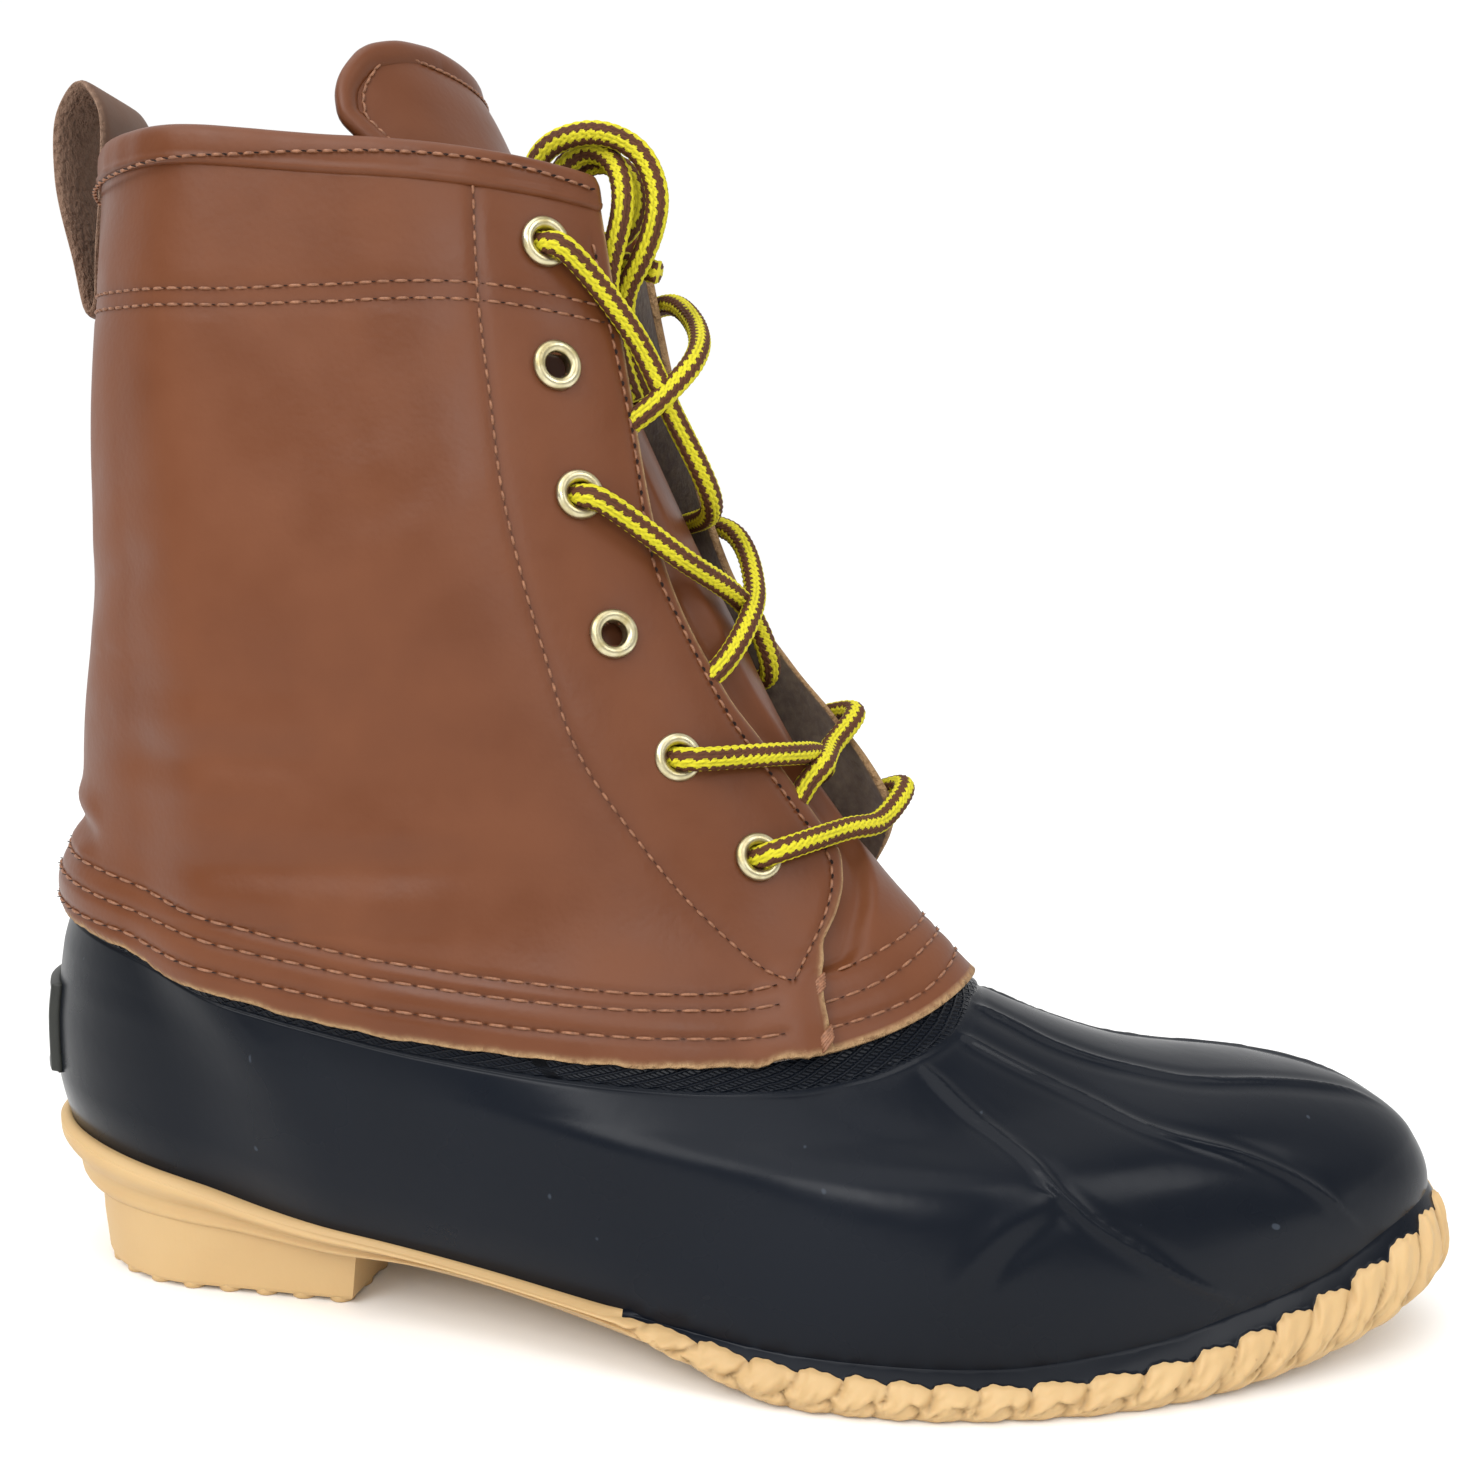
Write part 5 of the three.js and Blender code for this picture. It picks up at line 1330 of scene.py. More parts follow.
@dataclass
class Shaft:
    """The leather quarters round the heel, open in front, with their listed creases."""

    columns_side: int = 150
    rows: int = 148
    foot_level: float = 1.01
    top_level: float = 3 - 6.3 / (SHAFT_RISE * 0.68)
    hole: float = 2.9
    lap: float = 0.013
    lap_lift: float = 2.3

    def turns(self, level: Points) -> Points:
        """Turns of the columns at each level: inner edge, back, outer edge."""
        outer, inner, _ = np.moveaxis(FORM.edge(level), -1, 0)
        share = np.linspace(0, 1, self.columns_side) ** 1.12
        lap = self.lap * (1 - ease((level - 1.30) / 0.10))
        inner, outer = inner - lap, outer - lap
        left = inner[:, None] + (0.998 - inner[:, None]) * share[None]
        right = -(outer[:, None] + (0.998 - outer[:, None]) * share[None])
        return np.concatenate([left, right[:, ::-1]], axis=1)

    def overlap(self, level: Points, turn: Points) -> Points:
        """How far the quarters' lower front corners stand off, where they lie over the vamp."""
        near = 1 - ease((np.abs(turn) - FORM.facing(level, turn) - 0.004) / 0.05)
        return self.lap_lift * near * (1 - ease((level - 1.28) / 0.12))

    def relief(self, points: Points, level: Points, turn: Points) -> tuple[Points, Points]:
        """Height of seam grooves, lower roll and creases, and the painted shade along the seam grooves."""
        height = np.zeros(points.shape[:2])
        painted_shade = np.zeros(points.shape[:2])
        for seam in SEAMS:
            if not seam.quarter:
                continue
            for side in Side:
                path, _ = line_on_skin(seam.line, side, LEATHER_OUTSIDE, True)
                distance, _ = distance_to_path(points, path)
                height -= seam.groove * bump(distance, 1.15)
                # painted shade in the seam groove
                painted_shade += 0.10 * bump(distance, 1.0)
        for crease in CREASES:
            path, _ = line_on_skin(crease.line, crease.side, LEATHER_OUTSIDE, True)
            distance, index = distance_to_path(points, path)
            share = index / (len(path) - 1)
            fade = ease(share / 0.3) * ease((1 - share) / 0.3)
            bank = 0.75 * bump(np.maximum(0, distance - crease.width * 1.15), crease.width)
            valley = 1.25 * bump(distance, crease.width * 0.8)
            height += crease.depth * fade * (bank * (distance < crease.width * 4) - valley)
        roll = bump((level - 1.20) / 0.16, 1.0) * 0.9
        roll = roll + self.overlap(level, turn)
        slow = 0.35 * np.sin(level * 5.1 + turn * 7.0) + 0.3 * np.sin(level * 9.0 - turn * 11.0 + 1.3)
        slow = slow * ease((level - 1.3) / 0.3)
        return height + roll + slow, painted_shade

    def build(self, shop: Workshop) -> None:
        """Make the quarters.

        Args:
            shop: the materials.
        """
        level_line = np.concatenate([np.linspace(self.foot_level, 1.34, 46)[:-1],
                                     np.linspace(1.34, self.top_level, self.rows - 45)])
        turn = self.turns(level_line)
        level = np.broadcast_to(level_line[:, None], turn.shape).copy()
        rng = np.random.default_rng(4)
        ragged = np.convolve(rng.normal(0, 1, turn.shape[1] + 8), np.ones(4) / 4, "same")[4:-4]
        level[0] += 0.008 * ragged
        base = FORM.quarter(level, turn, LEATHER_OUTSIDE)
        height, painted_shade = self.relief(base, level, turn)
        edge_distance = self.edge_distance(base)
        height -= 0.7 * bump(edge_distance, 0.9)
        outer = base + FORM.quarter_normal(level, turn) * height[..., None]
        inner = FORM.quarter(level, turn, GAP + self.overlap(level, turn))
        rows, columns = turn.shape
        faces = wall_faces(rows, columns, False)
        points = np.vstack([outer.reshape(-1, 3), inner.reshape(-1, 3)])
        keep = self.outside_holes(points, faces)
        piece = store_mesh("shaft_quarters", points, faces[keep])
        raw = np.clip(bump(edge_distance, 0.8), 0, 1)
        set_value(piece, "raw_edge", np.concatenate([raw.ravel(), np.ones(raw.size)]))
        # painted shade: along the seams outside, and a flat share on the inner faces
        set_value(piece, "painted_shade", np.concatenate([np.clip(painted_shade, 0, 0.5).ravel(), np.full(painted_shade.size, 0.25)]))
        shop.finish(piece, shop.leather, "leather", "shaft")
        piece.data.materials.append(shop.suede)
        flesh = np.zeros(len(faces), np.int32)
        flesh[(rows - 1) * (columns - 1):2 * (rows - 1) * (columns - 1)] = 1
        piece.data.polygons.foreach_set("material_index", flesh[keep])

    def edge_distance(self, points: Points) -> Points:
        """Distance of each grid point from the piece's cut edges."""
        border = np.vstack([points[0], points[:, 0], points[:, -1]])
        distance, _ = distance_to_path(points, border)
        return np.minimum(distance, 50.0)

    def outside_holes(self, points: Points, faces: Points) -> Points:
        """Mask of the faces that lie outside the punched eyelet holes."""
        centres = points[faces].mean(1)
        keep = np.ones(len(faces), bool)
        for side in Side:
            for level, turn in EYELETS:
                spot = FORM.quarter(level, side.value * turn, LEATHER_OUTSIDE)
                axis = FORM.quarter_normal(level, side.value * turn)
                offset = centres - spot
                height = offset @ axis
                radius = np.linalg.norm(offset - height[:, None] * axis, axis=1)
                keep &= ~((radius < self.hole) & (np.abs(height) < 6))
        return keep


@dataclass
class CollarBinding:
    """The rolled leather edge of the collar."""

    height: float = 7.6
    thickness: float = 3.9
    around: int = 28
    along: int = 260

    def build(self, shop: Workshop) -> None:
        """Make the roll: a rounded section carried round the collar.

        Args:
            shop: the materials.
        """
        share = np.linspace(0, 1, self.along // 2)
        outer, inner, _ = FORM.edge(2.98)
        turn = np.concatenate([inner + (0.998 - inner) * share, -(outer + (0.998 - outer) * share)[::-1]])
        angle = np.linspace(0, 2 * np.pi, self.around, endpoint=False)
        across = np.sign(np.cos(angle)) * np.abs(np.cos(angle)) ** 0.75 * self.thickness / 2
        up = np.sign(np.sin(angle)) * np.abs(np.sin(angle)) ** 0.75 * self.height / 2
        across = across + 0.5 * (np.sin(angle) < -0.6) * (np.cos(angle) > 0)
        level_top = np.full(turn.shape, 2.995)
        top = FORM.quarter(level_top, turn, GAP + LEATHER_WALL / 2)
        below = FORM.quarter(level_top - 0.055, turn, GAP + LEATHER_WALL / 2)
        rise = unit(top - below)
        normal = FORM.quarter_normal(np.full(turn.shape, 2.97), turn)
        centre = top - rise * self.height / 2
        ripple = 1 + 0.03 * np.sin(np.arange(len(turn)) * 0.9)
        run = running_length(centre)
        end = np.clip(np.minimum(run, run[-1] - run) / 2.2, 0, 1)
        size = (0.6 + 0.4 * np.sqrt(1 - (1 - end) ** 2))[:, None]
        rings = (centre[:, None] + normal[:, None] * (across[None] * ripple[:, None] * size)[..., None]
                 + rise[:, None] * (up[None] * (0.4 + 0.6 * size))[..., None])
        shop.finish(tube_piece("collar_roll", rings), shop.leather, "leather", "collar_binding")


@dataclass
class Tongue:
    """The front of the shaft: vamp leather over the instep that runs up behind the lacing as a tongue."""

    columns: int = 120
    lower_rows: int = 150
    upper_rows: int = 44
    upright: float = 0.88
    roll_thickness: float = 4.2
    roll_width: float = 5.8

    def rows(self) -> tuple[Points, Points, Points, Points]:
        """Level, setback, half width and rise of each row, from the rubber's edge to the rounded top."""
        level = np.linspace(1.012, 2.985, self.lower_rows)
        low = Monotone(TONGUE_ROWS)(level)
        at = np.linspace(0, 1, self.upper_rows) ** 0.8
        top = Monotone(TONGUE_TOP)(at)
        setback, half = np.vstack([low, top]).T
        rise = np.concatenate([np.zeros(len(level)), at * TONGUE_RISE])
        return np.concatenate([level, np.full(len(at), 3.0)]), setback, half, rise

    def cover(self, level: Points, turn: Points) -> Points:
        """How far out the tongue's face lies: flush in the open, tucked under the quarters beside it."""
        beside = ease((np.abs(turn) - (FORM.facing(level, turn) - 0.075)) / 0.035)
        under = beside * ease((level - 1.27) / 0.05)
        face = LEATHER_OUTSIDE * (1 - under) - TONGUE_TUCK * under
        return face * (1 - ease((level - 2.75) / 0.25))

    def grid(self, depth: float) -> tuple[Points, Points, Points]:
        """Grid of the tongue's face, or of its back at a depth.

        Args:
            depth: distance inwards from the face.

        Returns:
            Points, levels and turns.
        """
        level, setback, half, rise = self.rows()
        widen = 0.13 * np.clip(rise / 8.0, 0, 1)[:, None]
        turn = half[:, None] * (np.linspace(-1, 1, self.columns)[None] * (1 + widen / 2) - widen / 2)
        level = np.broadcast_to(level[:, None], turn.shape)
        out = self.cover(level, turn) - depth
        if depth == 0.0:
            flat = FORM.skin(level, turn, out)
            for seam in SEAMS:
                if seam.quarter:
                    continue
                for side in Side:
                    path, _ = line_on_skin(seam.line, side, LEATHER_OUTSIDE)
                    distance, _ = distance_to_path(flat, path)
                    out = out - seam.groove * bump(distance, 1.1)
            wave = 0.5 * np.sin(level * 6.0 + turn * 4) * ease((level - 1.5) / 0.3)
            out = out + wave
        points = FORM.skin(level, turn, out)
        points[..., 0] -= (setback * SOLE_LENGTH)[:, None]
        points[..., 2] += self.upright * rise[:, None]
        return points, level, turn

    def build(self, shop: Workshop) -> None:
        """Make the tongue and its bound top.

        Args:
            shop: the materials.
        """
        face, _, _ = self.grid(0.0)
        back, _, _ = self.grid(TONGUE_WALL)
        piece = wall_piece("tongue_leather", face, back)
        raw = np.zeros(face.shape[:2])
        raw[:2] = [[1.0], [0.6]]
        set_value(piece, "raw_edge", np.concatenate([raw.ravel(), np.ones(raw.size)]))
        # painted shade on the tongue's back
        set_value(piece, "painted_shade", np.concatenate([np.zeros(raw.size), np.full(raw.size, 0.35)]))
        shop.finish(piece, shop.leather, "leather", "tongue")
        self.binding(face, back, shop)

    def binding(self, face: Points, back: Points, shop: Workshop) -> None:
        """Rolled edge round the tongue's top."""
        middle = (face + back) / 2
        start = self.lower_rows - 12
        rim = np.vstack([middle[start:, 0], middle[-1, 1:-1], middle[start:, -1][::-1]])
        path = smooth_path(rim[::3], 200)
        tangent = unit(np.gradient(path, axis=0))
        normal = unit(face[-20, self.columns // 2] - back[-20, self.columns // 2])
        normal = unit(normal[None] - tangent * (tangent @ normal)[:, None])
        side = np.cross(tangent, normal)
        angle = np.linspace(0, 2 * np.pi, 20, endpoint=False)
        rings = (path[:, None] + normal[:, None] * (self.roll_thickness / 2 * np.cos(angle))[None, :, None]
                 + side[:, None] * (self.roll_width / 2 * np.sin(angle))[None, :, None])
        shop.finish(tube_piece("tongue_roll", rings), shop.leather, "leather")


@dataclass
class PullLoop:
    """The strap loop at the back, and the strip that covers the seam below it."""

    width: float = 22.5
    thickness: float = 1.8
    top: float = 257.0
    reach: float = 15.5
    root_level: float = 2.73
    binding_proud: float = 1.1
    strip_half_turn: float = 0.035
    strip_thickness: float = 1.2

    def route(self) -> Points:
        """Middle line of the strap's loop, closed, from the root out, over the top and down the shaft."""
        out = LEATHER_OUTSIDE + GAP + self.binding_proud + self.thickness / 2
        seam = lambda level: FORM.skin(level, 1.0, out)
        root = seam(self.root_level)
        collar = FORM.point(3.0, 1.0)[0]
        high = self.top - self.thickness / 2
        rise = high - root[2]
        free = lambda back, share: np.array([collar - back * self.reach, 0.0, root[2] + rise * share])
        tip = root - np.array([self.thickness * 0.8, 0.0, self.thickness * 0.8])
        return np.array([tip, free(0.74, 0.22), free(0.98, 0.58), free(0.95, 0.87), free(0.62, 1.0),
                         free(0.32, 0.88), seam(2.97), seam(2.86), root])

    def build(self, shop: Workshop) -> None:
        """Make the strap, its suede inside and the strip.

        Args:
            shop: the materials.
        """
        route = self.route()
        looped = smooth_path(np.vstack([route[-2:], route, route[:2]]), 420)
        distance = np.linalg.norm(looped - route[0], axis=1)
        first = int(distance[:200].argmin())
        last = 200 + int(distance[200:].argmin())
        line = smooth_path(looped[first:last][::3], 150)[:-1]
        ahead, behind = np.roll(line, -1, 0), np.roll(line, 1, 0)
        tangent = unit(ahead - behind)
        normal = unit(np.cross(tangent, np.array([0.0, 1.0, 0.0])))
        across = np.linspace(-1, 1, 17)
        rounded = np.sqrt(np.clip(1 - np.abs(across) ** 8, 0, 1)) * 0.9 + 0.1
        half = self.thickness / 2
        wander = 0.5 * np.sin(np.arange(len(line)) / len(line) * 2 * np.pi * 3)
        y = across[:, None] * self.width / 2 + wander[None] * 0.4
        place = lambda sign: np.stack([
            line[None, :, 0] + normal[None, :, 0] * sign * half * rounded[:, None],
            y, line[None, :, 2] + normal[None, :, 2] * sign * half * rounded[:, None]], -1)
        strap = wall_piece("pull_strap", place(1), place(-1), True)
        rows, columns = len(across), len(line)
        inside = np.zeros((2, rows, columns))
        inside[1] = 1.0
        inside[:, [0, -1]] = 0.9
        set_value(strap, "raw_edge", inside)
        # painted shade on the strap's inside
        set_value(strap, "painted_shade", np.concatenate([np.zeros(rows * columns), np.full(rows * columns, 0.15)]))
        shop.finish(strap, shop.strap, "strap_leather", "pull_loop")
        self.strip(shop)

    def strip(self, shop: Workshop) -> None:
        """The narrow strip down the back seam."""
        level, share = np.meshgrid(np.linspace(1.34, 2.715, 160), np.linspace(-1, 1, 21), indexing="ij")
        turn = wrapped(1 + share * self.strip_half_turn)
        inner = LEATHER_OUTSIDE + GAP
        dome = self.strip_thickness * (0.35 + 0.65 * np.clip(1 - np.abs(share) ** 6, 0, 1))
        groove = 0.3 * bump(np.abs(share) - 0.68, 0.09)
        outer = FORM.skin(level, turn, inner + dome - groove)
        under = FORM.skin(level, turn, np.full(level.shape, inner - 0.9))
        piece = wall_piece("backstay_strip", outer, under)
        raw = np.zeros(level.shape)
        raw[:, [0, -1]] = 1.0
        set_value(piece, "raw_edge", np.concatenate([raw.ravel(), raw.ravel()]))
        shop.finish(piece, shop.leather, "leather", "backstay")


@dataclass
class HeelBadge:
    """Bare moulded plate on the back of the rubber."""

    width: float = 24.0
    height: float = 19.0
    seat: float = 0.25
    thickness: float = 1.7
    middle: float = 0.52

    def build(self, shop: Workshop) -> None:
        """Make the plate, bevelled all round, with a raised rim.

        Args:
            shop: the materials.
        """
        across, up = np.meshgrid(np.linspace(-1, 1, 61), np.linspace(-1, 1, 45), indexing="xy")
        reach = self.height / 2 / (RUBBER_HEIGHT * 0.68)
        level = self.middle + up * reach
        turn = wrapped(1 + across * self.width / 2 / 108)
        edge = np.minimum((1 - np.abs(across)) * self.width / 2, (1 - np.abs(up)) * self.height / 2)
        dome = self.thickness * ease(edge / 0.7 + 0.35) - 0.5 * ease((edge - 1.5) / 0.4)
        outer = FORM.skin(level, turn, self.seat + dome)
        inner = FORM.skin(level, turn, np.full(level.shape, -0.6))
        shop.finish(wall_piece("heel_plate", outer, inner), shop.badge, "badge_rubber", "heel_badge")


@dataclass
class Eyelets:
    """Twelve rolled brass eyelets."""

    bore: float = 2.5
    flange: float = 4.9
    crown: float = 1.15
    around: int = 40

    def build(self, shop: Workshop) -> None:
        """Make the eyelets, a rounded section turned round each hole's axis.

        Args:
            shop: the materials.
        """
        middle = (self.bore + self.flange) / 2
        half = (self.flange - self.bore) / 2
        bead = np.linspace(np.pi, 0, 14)
        section = np.vstack([
            [[self.bore, -1.9], [self.bore, 0.2]],
            np.stack([middle + half * np.cos(bead), 0.35 + self.crown * np.sin(bead) ** 0.8], -1)[1:-1],
            [[self.flange, 0.28], [self.flange - 0.4, 0.05], [self.bore + 0.5, 0.05],
             [self.bore + 0.5, -1.9]]])
        angle = np.linspace(0, 2 * np.pi, self.around, endpoint=False)
        ring = np.stack([section[:, None, 0] * np.cos(angle), section[:, None, 0] * np.sin(angle),
                         np.broadcast_to(section[:, None, 1], (len(section), self.around))], -1)
        count = len(section)
        i = np.arange(self.around)
        after = (i + 1) % self.around
        last = (count - 1) * self.around
        faces = np.vstack([grid_faces(count, self.around, True),
                           np.stack([last + i, last + after, after, i], -1)])
        for side in Side:
            for row, (level, turn) in enumerate(EYELETS, 1):
                spot = FORM.quarter(level, side.value * turn, LEATHER_OUTSIDE)
                axis = FORM.quarter_normal(level, side.value * turn)
                first = unit(np.cross(axis, np.array([0.0, 0.0, 1.0])))
                frame = np.stack([first, np.cross(axis, first), axis])
                points = spot + ring.reshape(-1, 3) @ frame
                piece = store_mesh(f"eyelet_{side.name.lower()}_ring_{row}", points, faces)
                shop.finish(piece, shop.brass, "eyelet_brass", f"eyelet_{side.name.lower()}_{row}")


# Laces

@dataclass
class Lace:
    """Round braided lace: sixteen columns of slanted stitches, in pairs of yellow and brown."""

    radius: float = 2.35
    columns: int = 16
    around: int = 48
    stitch: float = 1.9
    step: float = 0.28

    def tube(self, name: str, points: Points, turn: float = 0.0) -> tuple[bpy.types.Object, Points]:
        """One run of lace along a route.

        The radius swells over each stitch, whose phase slants up one column and down the next, and dips
        between columns, where painted shade darkens the colour.

        Args:
            name: the piece's name.
            points: the route.
            turn: how far the braid is turned at its start, in columns.

        Returns:
            The object, and the route's even points.
        """
        rough = smooth_path(points, 200)
        count = int(path_length(rough) / self.step)
        path = smooth_path(points, count)
        first, second = tube_frames(path)
        run = np.arange(count)[:, None] * self.step
        angle = np.arange(self.around)[None] / self.around * 2 * np.pi
        column = angle / (2 * np.pi) * self.columns + turn + run / 60.0
        place = column - np.floor(column)
        slant = np.where(np.floor(column) % 2 == 0, 1.0, -1.0)
        wave = np.abs(np.cos(np.pi * (run / self.stitch + slant * (place - 0.5) * 0.75 + 0.25 * slant)))
        between = np.sin(np.pi * np.clip(place, 0.02, 0.98)) ** 0.5
        radius = self.radius * (0.86 + 0.18 * wave ** 0.5 * between)
        rings = path[:, None] + radius[..., None] * (first[:, None] * np.cos(angle)[..., None]
                                                     + second[:, None] * np.sin(angle)[..., None])
        piece = tube_piece(name, rings)
        zigzag = np.abs((run / self.stitch) % 1 - 0.5) * 2 - 0.5
        pair = (np.floor((column + 0.7 * zigzag) / 2) % 2).astype(float)
        set_value(piece, "strand", np.concatenate([pair.ravel(), [0.0, 0.0]]))
        # painted shade: darker where the radius dips between stitches and columns
        painted_shade = np.clip(0.6 - 0.95 * wave ** 0.5 * between, 0, 0.6)
        set_value(piece, "painted_shade", np.concatenate([painted_shade.ravel(), [0.0, 0.0]]))
        return piece, path


@dataclass(frozen=True)
class FreeEnd:
    """One free end of the lace: a limp cord with its route in millimetres, from where it leaves the boot."""

    name: str
    nodes: tuple[str, ...]
    route: Route


FREE_ENDS: tuple[FreeEnd, ...] = (
    FreeEnd("lace_end_inner_turns", ("lace_end_1", "lace_hank"), (
        (85.85, -9.5, 188.0), (82.95, -10.4, 196.0), (80.75, -11.6, 206.0),
        (80.8, -12.9, 213.0), (82.6, -14.6, 218.5), (84.5, -15.8, 224.5), (84.0, -14.5, 231.5),
        (80.5, -11.5, 237.0), (75.0, -10.0, 239.0), (69.5, -9.5, 235.0), (67.2, -9.2, 228.5),
        (70.0, -8.8, 222.3), (76.5, -8.4, 219.6), (82.8, -8.0, 221.8), (86.0, -7.6, 228.0),
        (83.5, -6.8, 235.0), (77.0, -5.6, 238.2), (70.5, -5.0, 235.3), (67.9, -4.8, 228.8),
        (71.0, -4.4, 222.5), (77.5, -4.2, 218.6), (84.0, -4.6, 216.8), (89.8, -5.6, 215.0))),
    FreeEnd("lace_end_outer_turn", ("lace_end_2",), (
        (86.95, -4.0, 188.0), (84.15, -4.9, 196.0), (82.6, -6.0, 206.0),
        (83.6, -7.6, 211.5), (86.9, -10.0, 216.2), (90.1, -12.2, 222.5), (91.0, -13.4, 229.4),
        (87.6, -14.6, 236.8), (80.5, -15.2, 240.5), (74.3, -15.2, 240.5), (67.4, -14.6, 237.6),
        (64.5, -13.8, 230.5), (67.4, -13.3, 223.6), (73.0, -13.2, 220.4))),
)


@dataclass
class FreeEnds:
    """The lace's two free ends, which rise behind the top crossing and are wound into a small hank."""

    lace: Lace = field(default_factory=Lace)

    def build(self, shop: Workshop) -> None:
        """Args:
            shop: the materials.
        """
        for end in FREE_ENDS:
            piece, path = self.lace.tube(end.name, relaxed(smooth_path(end.route, 160), 16)[::3], 0.7)
            shop.finish(piece, shop.braid, "lace_braid", *end.nodes)


@dataclass(frozen=True)
class Crossing:
    """One laced pair: which eyelets, and the levels where its two runs dive and come out."""

    node: str
    eyelet: int
    under: float
    over: float
    drift: float = 0.0
    late: float = 0.0


CROSSINGS: tuple[Crossing, ...] = (
    Crossing("lace_cross_1", 0, 2.43, 2.605, -0.085, 0.12),
    Crossing("lace_cross_3", 2, 2.03, 2.07),
    Crossing("lace_cross_5", 4, 1.77, 1.76),
)


@dataclass
class Lacing:
    """The lace's runs over the tongue, through the laced eyelets."""

    lace: Lace = field(default_factory=Lace)
    clearance: float = 0.35

    def edge(self, level: float, side: Side) -> float:
        """Turn of the facing's edge at a level."""
        outer, inner, _ = FORM.edge(level)
        return float(outer if side is Side.OUTER else inner)

    def crossing(self, item: Crossing, shop: Workshop) -> None:
        """The two runs of one laced pair."""
        level, turn = EYELETS[item.eyelet]
        over_leather = LEATHER_OUTSIDE + self.lace.radius + self.clearance
        mix = lambda a, b, share: a + (b - a) * share
        quarter, skin = FORM.quarter, FORM.skin
        inner_edge = self.edge(item.under, Side.INNER)
        dive = np.array([
            quarter(level + 0.02, -turn - 0.01, -5.0), quarter(level, -turn, 1.5),
            quarter(level - 0.01, -turn + 0.012, over_leather + 0.3),
            skin(mix(level, item.under, 0.3), -self.edge(level, Side.OUTER), over_leather + 0.2),
            skin(mix(level, item.under, 0.6), item.drift, over_leather),
            skin(item.under, inner_edge - 0.03 + item.drift, over_leather - 0.6),
            skin(item.under - 0.03, inner_edge + 0.05, 1.9)])
        outer_edge = self.edge(item.over, Side.OUTER)
        late = item.late
        climb = lambda share: mix(item.over, level, share)
        rise = np.array([
            skin(item.over - 0.03, -outer_edge - 0.005, 0.6),
            skin(item.over, -outer_edge + 0.02, 3.2 + 12 * late),
            skin(climb(0.2 + 0.8 * late), -outer_edge * 0.45, over_leather + 1.0 + 31 * late),
            skin(climb(0.45 + 1.4 * late), 0.02, over_leather + 2.6 + 9 * late),
            quarter(climb(0.85 + 0.7 * late), self.edge(level, Side.INNER), over_leather + 0.5),
            quarter(level - 0.01, turn - 0.012, over_leather + 0.3), quarter(level, turn, 1.5),
            quarter(level + 0.02, turn + 0.01, -5.0)])
        first, _ = self.lace.tube(f"{item.node}_dive", dive, 0.4)
        second, _ = self.lace.tube(f"{item.node}_rise", rise, 1.6)
        shop.finish(first, shop.braid, "lace_braid", item.node)
        shop.finish(second, shop.braid, "lace_braid")

    def bar(self, shop: Workshop) -> None:
        """The lowest run, straight across and round the lifted flap's edge."""
        level, turn = EYELETS[5]
        over = LEATHER_OUTSIDE + self.lace.radius + self.clearance
        edge = self.edge(level, Side.INNER)
        quarter = FORM.quarter
        route = np.array([
            quarter(level + 0.02, -turn - 0.01, -5.0), quarter(level, -turn, 1.5),
            quarter(level, -turn + 0.012, over + 0.3),
            FORM.skin(level, -edge, over + 0.2), FORM.skin(level - 0.03, 0.0, over + 3.0),
            quarter(level, edge, over + 0.5), quarter(level, turn - 0.012, over + 0.3),
            quarter(level, turn, 1.5), quarter(level + 0.02, turn + 0.01, -5.0)])
        piece, _ = self.lace.tube("lace_bar_run", route, 0.9)
        shop.finish(piece, shop.braid, "lace_braid", "lace_bar_6")

    def build(self, shop: Workshop) -> None:
        """Make every run.

        Args:
            shop: the materials.
        """
        for item in CROSSINGS:
            self.crossing(item, shop)
        self.bar(shop)


# Stitches

